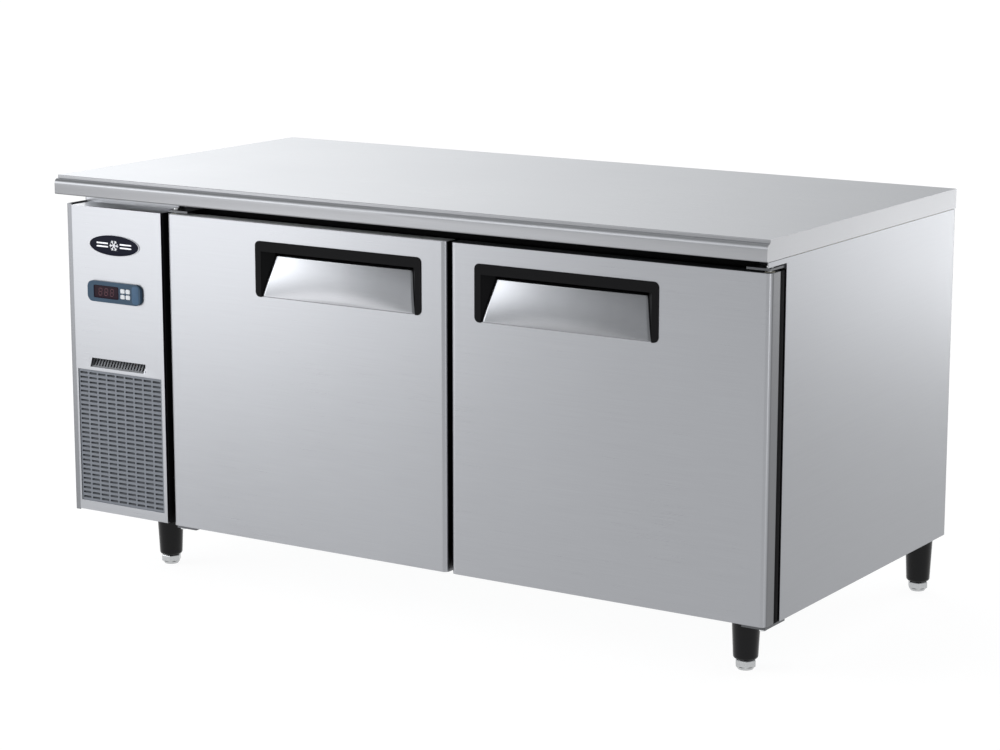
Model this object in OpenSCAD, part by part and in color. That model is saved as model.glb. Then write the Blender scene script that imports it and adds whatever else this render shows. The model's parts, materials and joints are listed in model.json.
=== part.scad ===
// Undercounter refrigerator with a steel worktop, two hinged doors and a machine
// compartment on the left. Millimetres. The origin is on the floor under the middle
// of the worktop, +Z is up and the doors face -Y.

/* [Overall] */
// Width of the worktop
overall_w = 1600; // [1560:10:1700]
// Depth of the worktop, front edge to back edge
overall_d = 790; // [770:5:820]
// Height of the worktop above the floor
overall_h = 800; // [790:5:830]

/* [Worktop] */
// Height of the worktop's front edge and side aprons
top_h = 38; // [34:1:44]
// Drop of the small step behind the rounded front edge
step_drop = 6; // [4:0.5:8]
// Radius of the rounded front edge
nose_r = 11; // [8:1:14]

/* [Cabinet] */
// Free height under the cabinet, which the legs take up
leg_h = 110; // [100:5:120]
// How far the worktop overhangs the cabinet's left side
overhang_left = 12; // [6:1:20]
// How far the worktop overhangs the cabinet's right side
overhang_right = 2; // [1:1:6]
// Distance from the worktop's front edge back to the cabinet's front frame
front_setback = 78; // [76:1:84]
// Thickness of the sheet steel
sheet_t = 1.2; // [0.8:0.1:1.5]
// Thickness of the insulated walls at the side of the machine compartment
wall_t = 50; // [45:1:55]

/* [Doors] */
// Width of one door
door_w = 659; // [640:1:665]
// Thickness of a door without its seal
door_t = 42; // [40:1:44]
// Gap between the two doors
door_gap = 10; // [8:1:14]
// Gap between the worktop and the top of a door
door_drop = 22; // [20:1:26]
// Radius of a door's long front edges
door_r = 10; // [6:1:14]

/* [Handles] */
// Width of the recessed handle's black rim
handle_w = 386; // [340:2:400]
// Height of the recessed handle's black rim
handle_h = 109; // [100:1:116]
// Distance from the rim to the door edge where the doors meet
handle_margin = 54; // [40:1:70]

/* [Hidden] */
$fn = 48;

// Thin gap that keeps neighbouring solids apart
gap = 0.2;
// Radial clearance of a running fit
fit = 0.05;

// Main planes of the cabinet
x_left = -overall_w / 2 + overhang_left;
x_right = overall_w / 2 - overhang_right;
y_nose = -overall_d / 2;
y_back = overall_d / 2;
y_frame = y_nose + front_setback;
z_base = leg_h;
z_deck = overall_h - top_h;
cabinet_top = z_deck - 1.5;
cabinet_back = y_back - 1;

// Doors: the right one is the left one mirrored about the plane between them
seal_t = 16;
door_back = y_frame - seal_t;
door_front = door_back - door_t;
door_x1 = x_right - door_w - door_gap;
door_x0 = door_x1 - door_w;
door_mid = door_x1 + door_gap / 2;
door_z0 = z_base + 2;
door_z1 = z_deck - door_drop;
hinge_x = door_x0 + 12;
hinge_y = door_back - 24;

// Machine compartment and its front cover
cover_gap = 15;
cover_x1 = door_x0 - cover_gap;
flange_w = 12;
cover_x0 = x_left + flange_w + 1;
cover_z0 = z_base + 3;
cover_t = 1.5;

// Insulated chamber
chamber_x0 = cover_x1 + wall_t;
chamber_x1 = x_right - 45;
chamber_y0 = y_frame + 18;
chamber_y1 = cabinet_back - 48;
chamber_z0 = z_base + 37;
chamber_z1 = z_deck - 55;
liner_t = 1.5;
liner_r = 14;
post_w = 80;
opening_z0 = chamber_z0 + 3;
opening_z1 = chamber_z1 - 3;

// Handle recess
handle_x0 = door_x1 - handle_margin - handle_w;
handle_xc = handle_x0 + handle_w / 2;
handle_z1 = door_z1 - 34;
handle_z0 = handle_z1 - handle_h;
rim_side = 14;
rim_top = 20;
rim_proud = 1.4;
recess_half = handle_w / 2 - rim_side;
scoop_z0 = handle_z0 + 2;
scoop_rise = 80;
scoop_depth = 21;
scoop_narrowing = 18;
recess_back = 30;
recess_wall = 4;

// Legs: the left pair stands under the machine compartment's inner wall
leg_xl = -615;
leg_xr_front = 714;
leg_xr_rear = 760;
leg_yf = y_frame + 35;
leg_yr = cabinet_back - 34;
leg_places = [[leg_xl, leg_yf], [leg_xr_front, leg_yf], [leg_xl, leg_yr], [leg_xr_rear, leg_yr]];
foot_h = 20;
stud_r = 8;

// Fans
fan_bore = 3;
condenser_c = [(cover_x0 + cover_x1) / 2, 265];
condenser_y = -300;
evaporator_c = [door_mid, 560];
evaporator_y = chamber_y1 - 92;

// Evaporator housing at the back of the chamber
cooler_x = [door_mid - 190, door_mid + 190];
cooler_y = [chamber_y1 - 95, chamber_y1 - gap];
cooler_z = [chamber_z0 + 90, chamber_z1 - 25];

// ---------------------------------------------------------------- helpers

module block(x, y, z) {
    translate([x[0], y[0], z[0]])
        cube([x[1] - x[0], y[1] - y[0], z[1] - z[0]]);
}

// Rounded rectangle from true arcs, centred on the origin
module round_rect(w, h, r) {
    square([w - 2 * r, h], center = true);
    square([w, h - 2 * r], center = true);
    for (sx = [-1, 1], sy = [-1, 1])
        translate([sx * (w / 2 - r), sy * (h / 2 - r)]) circle(r);
}

// Stands a 2D shape drawn in X and Z up, and extrudes it from y0 back to y1
module stand(y0, y1) {
    translate([0, y1, 0]) rotate([90, 0, 0]) linear_extrude(y1 - y0) children();
}

// Extrudes a 2D shape drawn in Y and Z from x0 to x1
module run_x(x0, x1) {
    translate([x0, 0, 0]) rotate([90, 0, 90]) linear_extrude(x1 - x0) children();
}

module rod_x(r, x0, x1, y, z) {
    translate([x0, y, z]) rotate([0, 90, 0]) cylinder(r = r, h = x1 - x0);
}

module rod_y(r, x, y0, y1, z) {
    translate([x, y0, z]) rotate([-90, 0, 0]) cylinder(r = r, h = y1 - y0);
}

module rod_z(r, x, y, z0, z1) {
    translate([x, y, z0]) cylinder(r = r, h = z1 - z0);
}

// Straight tubes along the axes that meet in ball corners
module pipe(points, r) {
    for (i = [1 : len(points) - 1]) {
        a = points[i - 1];
        d = points[i] - a;
        h = norm(d);
        translate(a)
            rotate([0, acos(d[2] / h), atan2(d[1], d[0])])
                cylinder(r = r, h = h);
    }
    for (i = [1 : len(points) - 2]) translate(points[i]) sphere(r);
}

// Places a left-hand part, or its mirror image for the right-hand door
module on_door(side) {
    if (side == "left") children();
    else translate([2 * door_mid, 0, 0]) mirror([1, 0, 0]) children();
}

// Points of an arc from angle a0 to a1 about c
function arc(c, r, a0, a1, n = 8) =
    [for (i = [0 : n]) let (a = a0 + (a1 - a0) * i / n) [c[0] + r * cos(a), c[1] + r * sin(a)]];

// ---------------------------------------------------------------- worktop

// Outline of the worktop in Y and Z, drawn t inside its outer surface
function worktop_outline(t, lip) = concat(
    [[y_back - t, z_deck + lip], [y_back - t, overall_h - t]],
    arc([y_nose + nose_r + 1.5, overall_h - 1.5], max(1.5 - t, 0.1), 90, 180, 3),
    arc([y_nose + nose_r, overall_h - step_drop - nose_r], nose_r - t, 90, 180, 10),
    arc([y_nose + 3, z_deck + 3], max(3 - t, 0.2), 180, 270, 4),
    [[y_nose + 16, z_deck + t], [y_nose + 16, z_deck + lip]]);

module worktop() color("gainsboro") difference() {
    run_x(-overall_w / 2, overall_w / 2) polygon(worktop_outline(0, 0));
    run_x(-overall_w / 2 + cover_t, overall_w / 2 - cover_t) polygon(worktop_outline(cover_t, 0));
    block([-overall_w / 2 + cover_t, overall_w / 2 - cover_t],
        [y_nose + 15, y_back - cover_t], [z_deck - 1, overall_h - cover_t - 8]);
}

// The stiffening board that fills the pressed sheet
module worktop_core() color("tan")
    block([-overall_w / 2 + 2, overall_w / 2 - 2],
        [y_nose + nose_r + 6, y_back - 2], [z_deck, overall_h - cover_t - gap]);

// ---------------------------------------------------------------- cabinet

module right_side_panel() color("silver") {
    difference() {
        block([x_right - 20, x_right], [y_frame, cabinet_back], [z_base, cabinet_top]);
        block([x_right - 21, x_right - sheet_t], [y_frame + sheet_t, cabinet_back + 1],
            [z_base - 1, cabinet_top + 1]);
    }
    // Ear that closes the end of the slot above the door
    block([x_right - sheet_t, x_right], [y_nose + 8, y_frame + 1], [door_z1 + 11, cabinet_top]);
}

louvre_count = 9;
module left_side_panel() color("silver") difference() {
    union() {
        block([x_left, x_left + sheet_t], [y_frame, cabinet_back], [z_base, cabinet_top]);
        block([x_left, x_left + sheet_t], [door_front + 2, y_frame + 1], [z_base, door_z1 + 2]);
        block([x_left, x_left + flange_w], [door_front + 2, door_front + 2 + sheet_t],
            [z_base, door_z1 + 2]);
    }
    for (i = [0 : louvre_count - 1])
        block([x_left - 1, x_left + sheet_t + 1], [-60, 190], [180 + i * 22, 186 + i * 22]);
}

module rear_panel() color("silver") difference() {
    block([x_left, x_right], [cabinet_back, cabinet_back + 1], [z_base, cabinet_top]);
    for (i = [0 : louvre_count - 1])
        block([x_left + 40, x_left + 200], [cabinet_back - 1, cabinet_back + 2],
            [180 + i * 22, 186 + i * 22]);
    rod_y(11, x_left + 60, cabinet_back - 1, cabinet_back + 2, 150);
}

module bottom_panel() color("silver")
    block([cover_x1, x_right - sheet_t - gap], [y_frame + sheet_t + gap, cabinet_back - gap],
        [z_base, z_base + sheet_t]);

// Wall between the machine compartment and the insulated chamber
module partition_panel() color("silver") difference() {
    block([cover_x1, cover_x1 + sheet_t], [y_frame, cabinet_back - gap],
        [z_base + sheet_t + gap, cabinet_top]);
    chamber_lines(line_r + gap);
}

module insulation() color("khaki") difference() {
    block([cover_x1 + sheet_t + gap, x_right - sheet_t - gap], [chamber_y0 + gap, cabinet_back - gap],
        [z_base + sheet_t + gap, cabinet_top]);
    block([chamber_x0 - liner_t - gap, chamber_x1 + liner_t + gap],
        [chamber_y0, chamber_y1 + liner_t + gap], [chamber_z0 - liner_t - gap, chamber_z1 + liner_t + gap]);
    chamber_lines(line_r + gap);
}

module inner_liner() color("whitesmoke") {
    w = chamber_x1 - chamber_x0;
    h = chamber_z1 - chamber_z0;
    difference() {
        translate([(chamber_x0 + chamber_x1) / 2, 0, (chamber_z0 + chamber_z1) / 2]) difference() {
            stand(chamber_y0 + gap, chamber_y1 + liner_t)
                round_rect(w + 2 * liner_t, h + 2 * liner_t, liner_r + liner_t);
            stand(chamber_y0 - 1, chamber_y1) round_rect(w, h, liner_r);
        }
        for (i = [0, 1])
            rod_y(line_r + gap, line_entry[i], chamber_y1 - 1, chamber_y1 + 3, line_z[i]);
    }
}

// Black thermal-break frame round both openings, with the post between them
module front_frame() color("dimgray") {
    difference() {
        block([cover_x1 + sheet_t + gap, x_right - 20 - gap], [y_frame, chamber_y0],
            [z_base + sheet_t + gap, cabinet_top]);
        for (x = [[chamber_x0 + 3, door_mid - post_w / 2], [door_mid + post_w / 2, chamber_x1 - 3]])
            block(x, [y_frame - 1, chamber_y0 + 1], [opening_z0, opening_z1]);
    }
    block([door_mid - post_w / 2, door_mid + post_w / 2], [chamber_y0 - 1, chamber_y0 + 22],
        [opening_z0 + 2, opening_z1 - 2]);
    // Fin that runs forward between the machine compartment's cover and the left door
    block([cover_x1 + sheet_t + gap, cover_x1 + sheet_t + gap + 1.6], [door_front + 4, y_frame + 1],
        [door_z0, door_z1]);
}

// ---------------------------------------------------------------- machine compartment

machine_x0 = x_left + sheet_t + gap;
machine_x1 = cover_x1 - gap;

module machine_base() color("darkgray") {
    y = [y_frame + 2, cabinet_back - gap];
    difference() {
        block([machine_x0, machine_x1], y, [z_base, z_base + 14]);
        block([machine_x0 + 1.5, machine_x1 - 1.5], [y[0] + 1.5, y[1] - 1.5], [z_base + 1.5, z_base + 15]);
    }
}

// Cross rail behind the slot above the machine compartment's cover
module machine_rail() color("silver") {
    block([machine_x0, machine_x1], [y_frame, y_frame + sheet_t], [door_z1 - 12, cabinet_top]);
    block([machine_x0, machine_x1], [y_frame, y_frame + 18], [cabinet_top - sheet_t, cabinet_top]);
}

grille_x = [cover_x0 + 5, cover_x1 - 8];
grille_z = [z_base + 22, z_base + 296];
louvre_x = [grille_x[0] + 32, grille_x[1] - 40];
louvre_z = [grille_z[1] + 7, grille_z[1] + 26];
panel_xc = (cover_x0 - flange_w + cover_x1) / 2 + 1;

// Folded steel cover, with a slotted grip pocket pressed in above the grille
module machine_front_panel() color("gainsboro") {
    y = [door_front, y_frame - gap];
    difference() {
        block([cover_x0, cover_x1], y, [cover_z0, door_z1]);
        block([cover_x0 + cover_t, cover_x1 - cover_t], [y[0] + cover_t, y[1] + 1],
            [cover_z0 + cover_t, door_z1 - cover_t]);
        block(grille_x, [y[0] - 1, y[0] + 3], grille_z);
        block(louvre_x, [y[0] - 1, y[0] + 3], louvre_z);
        block([panel_xc - 62, panel_xc + 62], [y[0] - 1, y[0] + 3], [z_base + 445, z_base + 477]);
    }
    grip_pocket();
}

// Slanted floor of the grip pocket, cut by a row of slots, with its ceiling and ends
slot_pitch = 7.5;
module grip_pocket() {
    y0 = door_front + cover_t - 0.3;
    x = [louvre_x[0] - 3, louvre_x[1] + 3];
    difference() {
        run_x(x[0], x[1]) polygon([[y0, louvre_z[0] - 3], [y0 + 14, louvre_z[1] + 1],
            [y0, louvre_z[1] + 1], [y0, louvre_z[1] + 3], [y0 + 17, louvre_z[1] + 3],
            [y0 + 3, louvre_z[0] - 3]]);
        for (i = [0 : floor((louvre_x[1] - louvre_x[0] - 8) / slot_pitch)])
            translate([louvre_x[0] + 5 + i * slot_pitch, y0 - 1, louvre_z[0] + 2])
                cube([3.5, 20, louvre_z[1] - louvre_z[0] - 5]);
    }
}

// Pressed grille with rows of long slots
grille_rows = 28;
grille_columns = 5;
bar_w = 3.8;
module machine_grille() color("slategray") {
    w = (grille_x[1] - grille_x[0] - bar_w) / grille_columns;
    h = (grille_z[1] - grille_z[0] - bar_w) / grille_rows;
    stand(door_front + cover_t + gap, door_front + cover_t + gap + 1.4) difference() {
        translate([grille_x[0] - 3, grille_z[0] - 3])
            square([grille_x[1] - grille_x[0] + 6, grille_z[1] - grille_z[0] + 6]);
        for (i = [0 : grille_columns - 1], j = [0 : grille_rows - 1])
            translate([grille_x[0] + bar_w + i * w, grille_z[0] + bar_w + j * h])
                square([w - bar_w, h - bar_w]);
    }
}

// Blank plate
module nameplate() color("midnightblue")
    translate([panel_xc, 0, z_base + 556])
        stand(door_front - 1.8, door_front) round_rect(130, 42, 20.9);

// ---------------------------------------------------------------- controller

control_z = z_base + 461;
control_w = 137;
control_h = 42;
key_x = panel_xc + 30;
key_pitch = [13.5, 11.5];

module controller_bezel() color("steelblue") translate([panel_xc, 0, control_z]) difference() {
    stand(door_front - 6, door_front) round_rect(control_w, control_h, 9);
    translate([-20, 0, 0]) stand(door_front - 7, door_front - 2.5) round_rect(64, 25, 2);
    translate([key_x - panel_xc, 0, 0])
        for (sx = [-1, 1], sz = [-1, 1])
            translate([sx * key_pitch[0] / 2, 0, sz * key_pitch[1] / 2])
                stand(door_front - 7, door_front + 1) round_rect(11.6, 9.6, 2.1);
}

module controller_body() color("black") difference() {
    block([panel_xc - 61, panel_xc + 61], [door_front + gap, door_front + 55],
        [control_z - 15.5, control_z + 15.5]);
    // Well behind the keys
    block([key_x - 15, key_x + 15], [door_front, door_front + 4], [control_z - 13, control_z + 13]);
}

module controller_window() color("darkred") translate([panel_xc - 20, 0, control_z])
    stand(door_front - 5.4, door_front - 2.5 - gap) round_rect(63.4, 24.4, 1.8);

module button(sx, sz) color("white")
    translate([key_x + sx * key_pitch[0] / 2, 0, control_z + sz * key_pitch[1] / 2]) {
        stand(door_front - 7, door_front + 1.2) round_rect(11, 9, 1.8);
        stand(door_front + gap, door_front + 1.2) round_rect(12.6, 10.6, 2.6);
    }

module button_set() button(-1, 1);
module button_defrost() button(-1, -1);
module button_up() button(1, 1);
module button_down() button(1, -1);

// ---------------------------------------------------------------- refrigeration

module fan_blades(r, hub_r, count, depth) {
    cylinder(r = hub_r, h = depth);
    for (i = [0 : count - 1]) rotate(i * 360 / count)
        translate([hub_r - 1.5, 0, depth / 2]) rotate([28, 0, 0])
            translate([0, -r * 0.2, -1]) cube([r - hub_r + 1.5, r * 0.4, 2]);
}

// Blades and shaft in one piece, pointing along +Y from the blades into the motor
module fan(c, y, r, depth, shaft) {
    translate([c[0], y, c[1]]) rotate([-90, 0, 0]) {
        fan_blades(r, r * 0.28, 5, depth);
        cylinder(r = fan_bore, h = depth + shaft);
    }
}

module motor(c, y, r, length) difference() {
    union() {
        rod_y(r, c[0], y, y + length, c[1]);
        rod_y(r * 0.45, c[0], y - 4, y + 1, c[1]);
    }
    rod_y(fan_bore + fit, c[0], y - 5, y + length - 6, c[1]);
}

coil_y = [condenser_y, condenser_y + 48];
coil_z = [z_base + 22, z_base + 288];

module condenser_coil() color("darkgray") {
    x = [machine_x0 + 16, machine_x1 - 16];
    block([x[0] - 0.1, x[1] + 0.1], coil_y, coil_z);
    for (x0 = [x[0] - 2, x[1]]) block([x0, x0 + 2], coil_y, [z_base + 1.7, coil_z[1] + 4]);
    for (side = [0, 1], z = [coil_z[0] + 22 : 44 : coil_z[1] - 22])
        translate([x[side] + (2 * side - 1) * 1.9, condenser_y + 24, z])
            rotate(90 - 180 * side) rotate_extrude(angle = 180) translate([9, 0]) circle(3.8);
}

module condenser_shroud() color("dimgray") {
    y0 = coil_y[1] + gap;
    difference() {
        block([machine_x0 + 14, machine_x1 - 14], [y0, y0 + 34], coil_z);
        block([machine_x0 + 15.5, machine_x1 - 15.5], [y0 - 1, y0 + 32.5],
            [coil_z[0] + 1.5, coil_z[1] - 1.5]);
        rod_y(86, condenser_c[0], y0, y0 + 36, condenser_c[1]);
    }
}

condenser_motor_y = coil_y[1] + 58;
module condenser_motor() color("dimgray") {
    motor(condenser_c, condenser_motor_y, 36, 62);
    // Foot and upright that carry the motor
    block([condenser_c[0] - 22, condenser_c[0] + 22], [condenser_motor_y + 12, condenser_motor_y + 50],
        [z_base + 1.6, z_base + 5]);
    block([condenser_c[0] - 22, condenser_c[0] + 22], [condenser_motor_y + 28, condenser_motor_y + 31],
        [z_base + 4, condenser_c[1] - 32]);
}

module condenser_fan() color("silver")
    fan(condenser_c, condenser_motor_y - 34, 80, 26, 40);

compressor_c = [condenser_c[0], 110];
compressor_z = z_base + 24;
module compressor() color("black") {
    translate([compressor_c[0], compressor_c[1], compressor_z]) {
        rotate_extrude() polygon(concat([[0, 0], [70, 0]],
            arc([70, 14], 14, -90, 0, 4), arc([0, 118], 84, 0, 90, 12)));
        translate([0, 0, -4]) difference() {
            linear_extrude(4) round_rect(190, 150, 14);
            for (sx = [-1, 1], sy = [-1, 1])
                translate([sx * 80, sy * 60, -1]) cylinder(r = 8, h = 6);
        }
        translate([-28, -101, 40]) cube([56, 22, 70]);
    }
}

module compressor_mounts() color("black")
    for (sx = [-1, 1], sy = [-1, 1])
        translate([compressor_c[0] + sx * 80, compressor_c[1] + sy * 60, z_base + 1.6]) {
            cylinder(r = 13, h = compressor_z - z_base - 5.7);
            cylinder(r = 7.8, h = compressor_z - z_base + 4);
        }

drier_c = [machine_x1 - 26, 240];
line_r = 4;
line_z = [cooler_z[0] + 188, cooler_z[0] + 153];
line_start = [drier_c[0], compressor_c[0] + 40];
line_entry = [door_mid - 120, door_mid - 80];
wall_line_y = chamber_y1 + 24;

// Corners of the liquid line (0) and the suction line (1), foamed into the rear wall
function wall_path(i) = [[line_start[i], wall_line_y, line_z[i]], [line_entry[i], wall_line_y, line_z[i]],
    [line_entry[i], cooler_y[1] - 7.8, line_z[i]]];

module chamber_lines(r) {
    for (i = [0, 1]) pipe(wall_path(i), r);
}

// Copper lines: hot gas to the coil, liquid through the filter drier, and suction back to the compressor
module refrigerant_lines() color("peru") {
    translate([drier_c[0], drier_c[1], 300]) {
        cylinder(r = 15, h = 90);
        translate([0, 0, 90]) cylinder(r1 = 15, r2 = 5, h = 14);
        translate([0, 0, -14]) cylinder(r1 = 5, r2 = 15, h = 14);
    }
    top_z = compressor_z + 194.3;
    cx = compressor_c[0];
    cy = compressor_c[1];
    coil_c = condenser_y + 24;
    side_x = machine_x1 - 6;
    low_z = coil_z[0] + 44;
    pipe([[cx - 40, cy, top_z], [cx - 40, cy, 460], [cx - 40, coil_c, 460],
        [cx - 40, coil_c, coil_z[1] + gap]], line_r);
    pipe([[machine_x1 - 13.8, coil_c, low_z], [side_x, coil_c, low_z], [side_x, drier_c[1], low_z],
        [drier_c[0], drier_c[1], low_z], [drier_c[0], drier_c[1], 287]], line_r);
    pipe(concat([[drier_c[0], drier_c[1], 403], [drier_c[0], drier_c[1], line_z[0]]],
        wall_path(0)), line_r);
    pipe(concat([[cx + 40, cy, top_z], [cx + 40, cy, line_z[1]]], wall_path(1)), line_r);
}

pan_x = [machine_x0 + 26, machine_x1 - 26];
pan_y = [270, 372];
pan_z = [z_base + 1.7, z_base + 42];
module drain_pan() color("darkgray") difference() {
    block(pan_x, pan_y, pan_z);
    block([pan_x[0] + 2, pan_x[1] - 2], [pan_y[0] + 2, pan_y[1] - 2], [pan_z[0] + 2, pan_z[1] + 1]);
}

// Finned block behind the cover, below the fan
module evaporator_coil() color("silver") {
    z = [cooler_z[0] + 20, cooler_z[0] + 205];
    block([cooler_x[0] + 20, cooler_x[1] - 20], [cooler_y[0] + 26, cooler_y[1] - 8], z);
    for (x = [cooler_x[0] + 18.1, cooler_x[1] - 20.1])
        block([x, x + 2], [cooler_y[0] + 20, cooler_y[1]], [z[0] - 4, z[1] + 4]);
}

guard_step = 14;
module evaporator_cover() color("whitesmoke") {
    difference() {
        block(cooler_x, cooler_y, cooler_z);
        block([cooler_x[0] + 1.5, cooler_x[1] - 1.5], [cooler_y[0] + 1.5, cooler_y[1] + 1],
            [cooler_z[0] + 1.5, cooler_z[1] - 1.5]);
        rod_y(82, evaporator_c[0], cooler_y[0] - 1, cooler_y[0] + 3, evaporator_c[1]);
        for (i = [0 : 5], sx = [-1, 1])
            block([door_mid + sx * 90 - 70, door_mid + sx * 90 + 70], [cooler_y[0] - 1, cooler_y[0] + 3],
                [cooler_z[0] + 26 + i * 18, cooler_z[0] + 34 + i * 18]);
    }
    // Ring guard in front of the fan
    translate([evaporator_c[0], 0, evaporator_c[1]]) stand(cooler_y[0] - 2.4, cooler_y[0] + 0.2) {
        for (i = [0 : 5]) difference() {
            circle(16 + i * guard_step);
            circle(13.4 + i * guard_step);
        }
        for (a = [0 : 60 : 120]) rotate(a) square([2 * (15 + 5 * guard_step) + 4, 2.6], center = true);
    }
}

evaporator_motor_y = evaporator_y + 46;
module evaporator_motor() color("dimgray") {
    motor(evaporator_c, evaporator_motor_y, 28, 40);
    z = [evaporator_c[1] - 9, evaporator_c[1] + 9];
    for (s = [-1, 1]) {
        x = [27, 92];
        plate_x = s > 0 ? x : -[x[1], x[0]];
        leg_x = s > 0 ? [x[1] - 3, x[1]] : [-x[1], 3 - x[1]];
        translate([evaporator_c[0], 0, 0]) {
            block(plate_x, [evaporator_motor_y + 34, evaporator_motor_y + 37], z);
            block(leg_x, [evaporator_motor_y + 35, cooler_y[1]], z);
        }
    }
}

module evaporator_fan() color("black")
    fan(evaporator_c, evaporator_y + 12, 74, 24, 34);

// ---------------------------------------------------------------- shelves

shelf_z = 430;
shelf_y = [chamber_y0 + 28, chamber_y1 - 104];
wire_pitch = 26;

// Front-to-back wires welded on three cross rods
module shelf(x) {
    for (y = [shelf_y[0] + 4, (shelf_y[0] + shelf_y[1]) / 2, shelf_y[1] - 4])
        rod_x(3.5, x[0], x[1], y, shelf_z - 5.2);
    n = floor((x[1] - x[0] - 12) / wire_pitch);
    first = (x[0] + x[1] - n * wire_pitch) / 2;
    for (i = [0 : n]) rod_y(2, first + i * wire_pitch, shelf_y[0], shelf_y[1], shelf_z);
}

module shelf_left() color("lightgray") shelf([chamber_x0 + 16, door_mid - 22]);
module shelf_right() color("lightgray") shelf([door_mid + 22, chamber_x1 - 16]);

post_z = [chamber_z0 + 40, chamber_z1 - 40];
post_y = [chamber_y0 + 62, chamber_y1 - 170];

// Slotted channel against a side wall
module wall_post(x0, y) difference() {
    block([x0, x0 + 6], [y - 12, y + 12], post_z);
    for (z = [post_z[0] + 14 : 24 : post_z[1] - 14])
        block([x0 - 1, x0 + 7], [y - 6, y + 6], [z, z + 7]);
}

module shelf_posts() color("lightgray") {
    for (y = post_y) {
        wall_post(chamber_x0 + gap, y);
        wall_post(chamber_x1 - 6 - gap, y);
    }
    // Free-standing posts on the middle line, from the floor to the ceiling of the chamber
    for (y = [chamber_y0 + 46, chamber_y1 - 108]) difference() {
        block([door_mid - 12, door_mid + 12], [y - 5, y + 5], [chamber_z0 + gap, chamber_z1 - gap]);
        for (z = [post_z[0] + 14 : 24 : post_z[1] - 14])
            block([door_mid - 6, door_mid + 6], [y - 6, y + 6], [z, z + 7]);
    }
}

// Hooked clips that the cross rods lie in
module shelf_clips() color("silver") {
    z = [shelf_z - 16, shelf_z - 9.3];
    for (y = post_y) {
        block([chamber_x0 + 6 + 2 * gap, chamber_x0 + 30], [y - 9, y + 9], z);
        block([chamber_x1 - 30, chamber_x1 - 6 - 2 * gap], [y - 9, y + 9], z);
    }
    for (y = [chamber_y0 + 46, chamber_y1 - 108], s = [-1, 1])
        block([door_mid + (s < 0 ? -34 : 12 + gap), door_mid + (s < 0 ? -12 - gap : 34)], [y - 5, y + 5], z);
}

// ---------------------------------------------------------------- doors

module door_outline(inset) {
    r = door_r - inset;
    w = door_w - 2 * inset;
    translate([door_x0 + inset, door_front + inset]) {
        translate([r, 0]) square([w - 2 * r, door_t]);
        translate([0, r]) square([w, door_t - r]);
        for (x = [r, w - r]) translate([x, r]) circle(r);
    }
}

bush_r = 7;
module hinge_holes(r) {
    rod_z(r, hinge_x, hinge_y, door_z0 - 1, door_z0 + 17);
    rod_z(r, hinge_x, hinge_y, door_z1 - 17, door_z1 + 1);
}

recess_x = [handle_x0 + 3, handle_x0 + handle_w - 3];
recess_z = [scoop_z0, handle_z1 - 3];

module door_skin(side) color("gainsboro") on_door(side) difference() {
    translate([0, 0, door_z0]) linear_extrude(door_z1 - door_z0) door_outline(0);
    // Everything behind the door's back face
    block([door_x0 - 1, door_x1 + 1], [door_back, door_back + door_t], [door_z0 - 1, door_z1 + 1]);
    intersection() {
        translate([0, 0, door_z0 + sheet_t]) linear_extrude(door_z1 - door_z0 - 2 * sheet_t)
            door_outline(sheet_t);
        block([door_x0, door_x1], [door_front, door_back + door_t], [door_z0, door_z1]);
    }
    block(recess_x, [door_front - 1, door_front + 5], recess_z);
    hinge_holes(bush_r + gap);
}

module door_foam(side) color("khaki") on_door(side) difference() {
    block([hinge_x + bush_r + 3, door_x1 - sheet_t - gap], [door_front + door_r, door_back - 2 - gap],
        [door_z0 + sheet_t + gap, door_z1 - sheet_t - gap]);
    block([recess_x[0] - gap, recess_x[1] + gap], [door_front, door_front + recess_back + recess_wall + gap],
        [recess_z[0] - gap, recess_z[1] + gap]);
}

// Back plate with a raised field inside the seal
field_inset = 55;
module door_liner(side) color("whitesmoke") on_door(side) {
    d = sheet_t + gap;
    difference() {
        block([door_x0 + d, door_x1 - d], [door_back - 2, door_back], [door_z0 + d, door_z1 - d]);
        hinge_holes(bush_r + 2);
    }
    translate([(door_x0 + door_x1) / 2, 0, (door_z0 + door_z1) / 2])
        stand(door_back - 0.5, door_back + 8)
            round_rect(door_w - 2 * field_inset, door_z1 - door_z0 - 2 * field_inset, 16);
}

seal_inset = 14;
seal_w = 18;
module door_gasket(side) color("black") on_door(side) {
    w = door_w - 2 * seal_inset;
    h = door_z1 - door_z0 - 2 * seal_inset;
    translate([(door_x0 + door_x1) / 2, 0, (door_z0 + door_z1) / 2])
        stand(door_back + 0.1, y_frame - 0.4) difference() {
            square([w, h], center = true);
            square([w - 2 * seal_w, h - 2 * seal_w], center = true);
        }
}

// Plan of the recess, which narrows as it gets deeper
module recess_plan(inset) {
    h0 = recess_half - inset;
    h1 = recess_half - scoop_narrowing - inset;
    translate([handle_xc, door_front]) polygon([[-h0, -4], [h0, -4], [h0, 0],
        [h1, scoop_depth], [h1, recess_back], [-h1, recess_back], [-h1, scoop_depth], [-h0, 0]]);
}

// Section of the recess in Y and Z: sloping floor, back wall and a hooked space behind the rim
module recess_section() {
    polygon([[door_front - 4, scoop_z0], [door_front + 0.01, scoop_z0],
        [door_front + scoop_depth, scoop_z0 + scoop_rise], [door_front + recess_back, scoop_z0 + scoop_rise],
        [door_front + recess_back, handle_z1 - 7], [door_front + 7, handle_z1 - 7],
        [door_front + 7, handle_z1 - rim_top], [door_front - 4, handle_z1 - rim_top]]);
}

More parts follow.
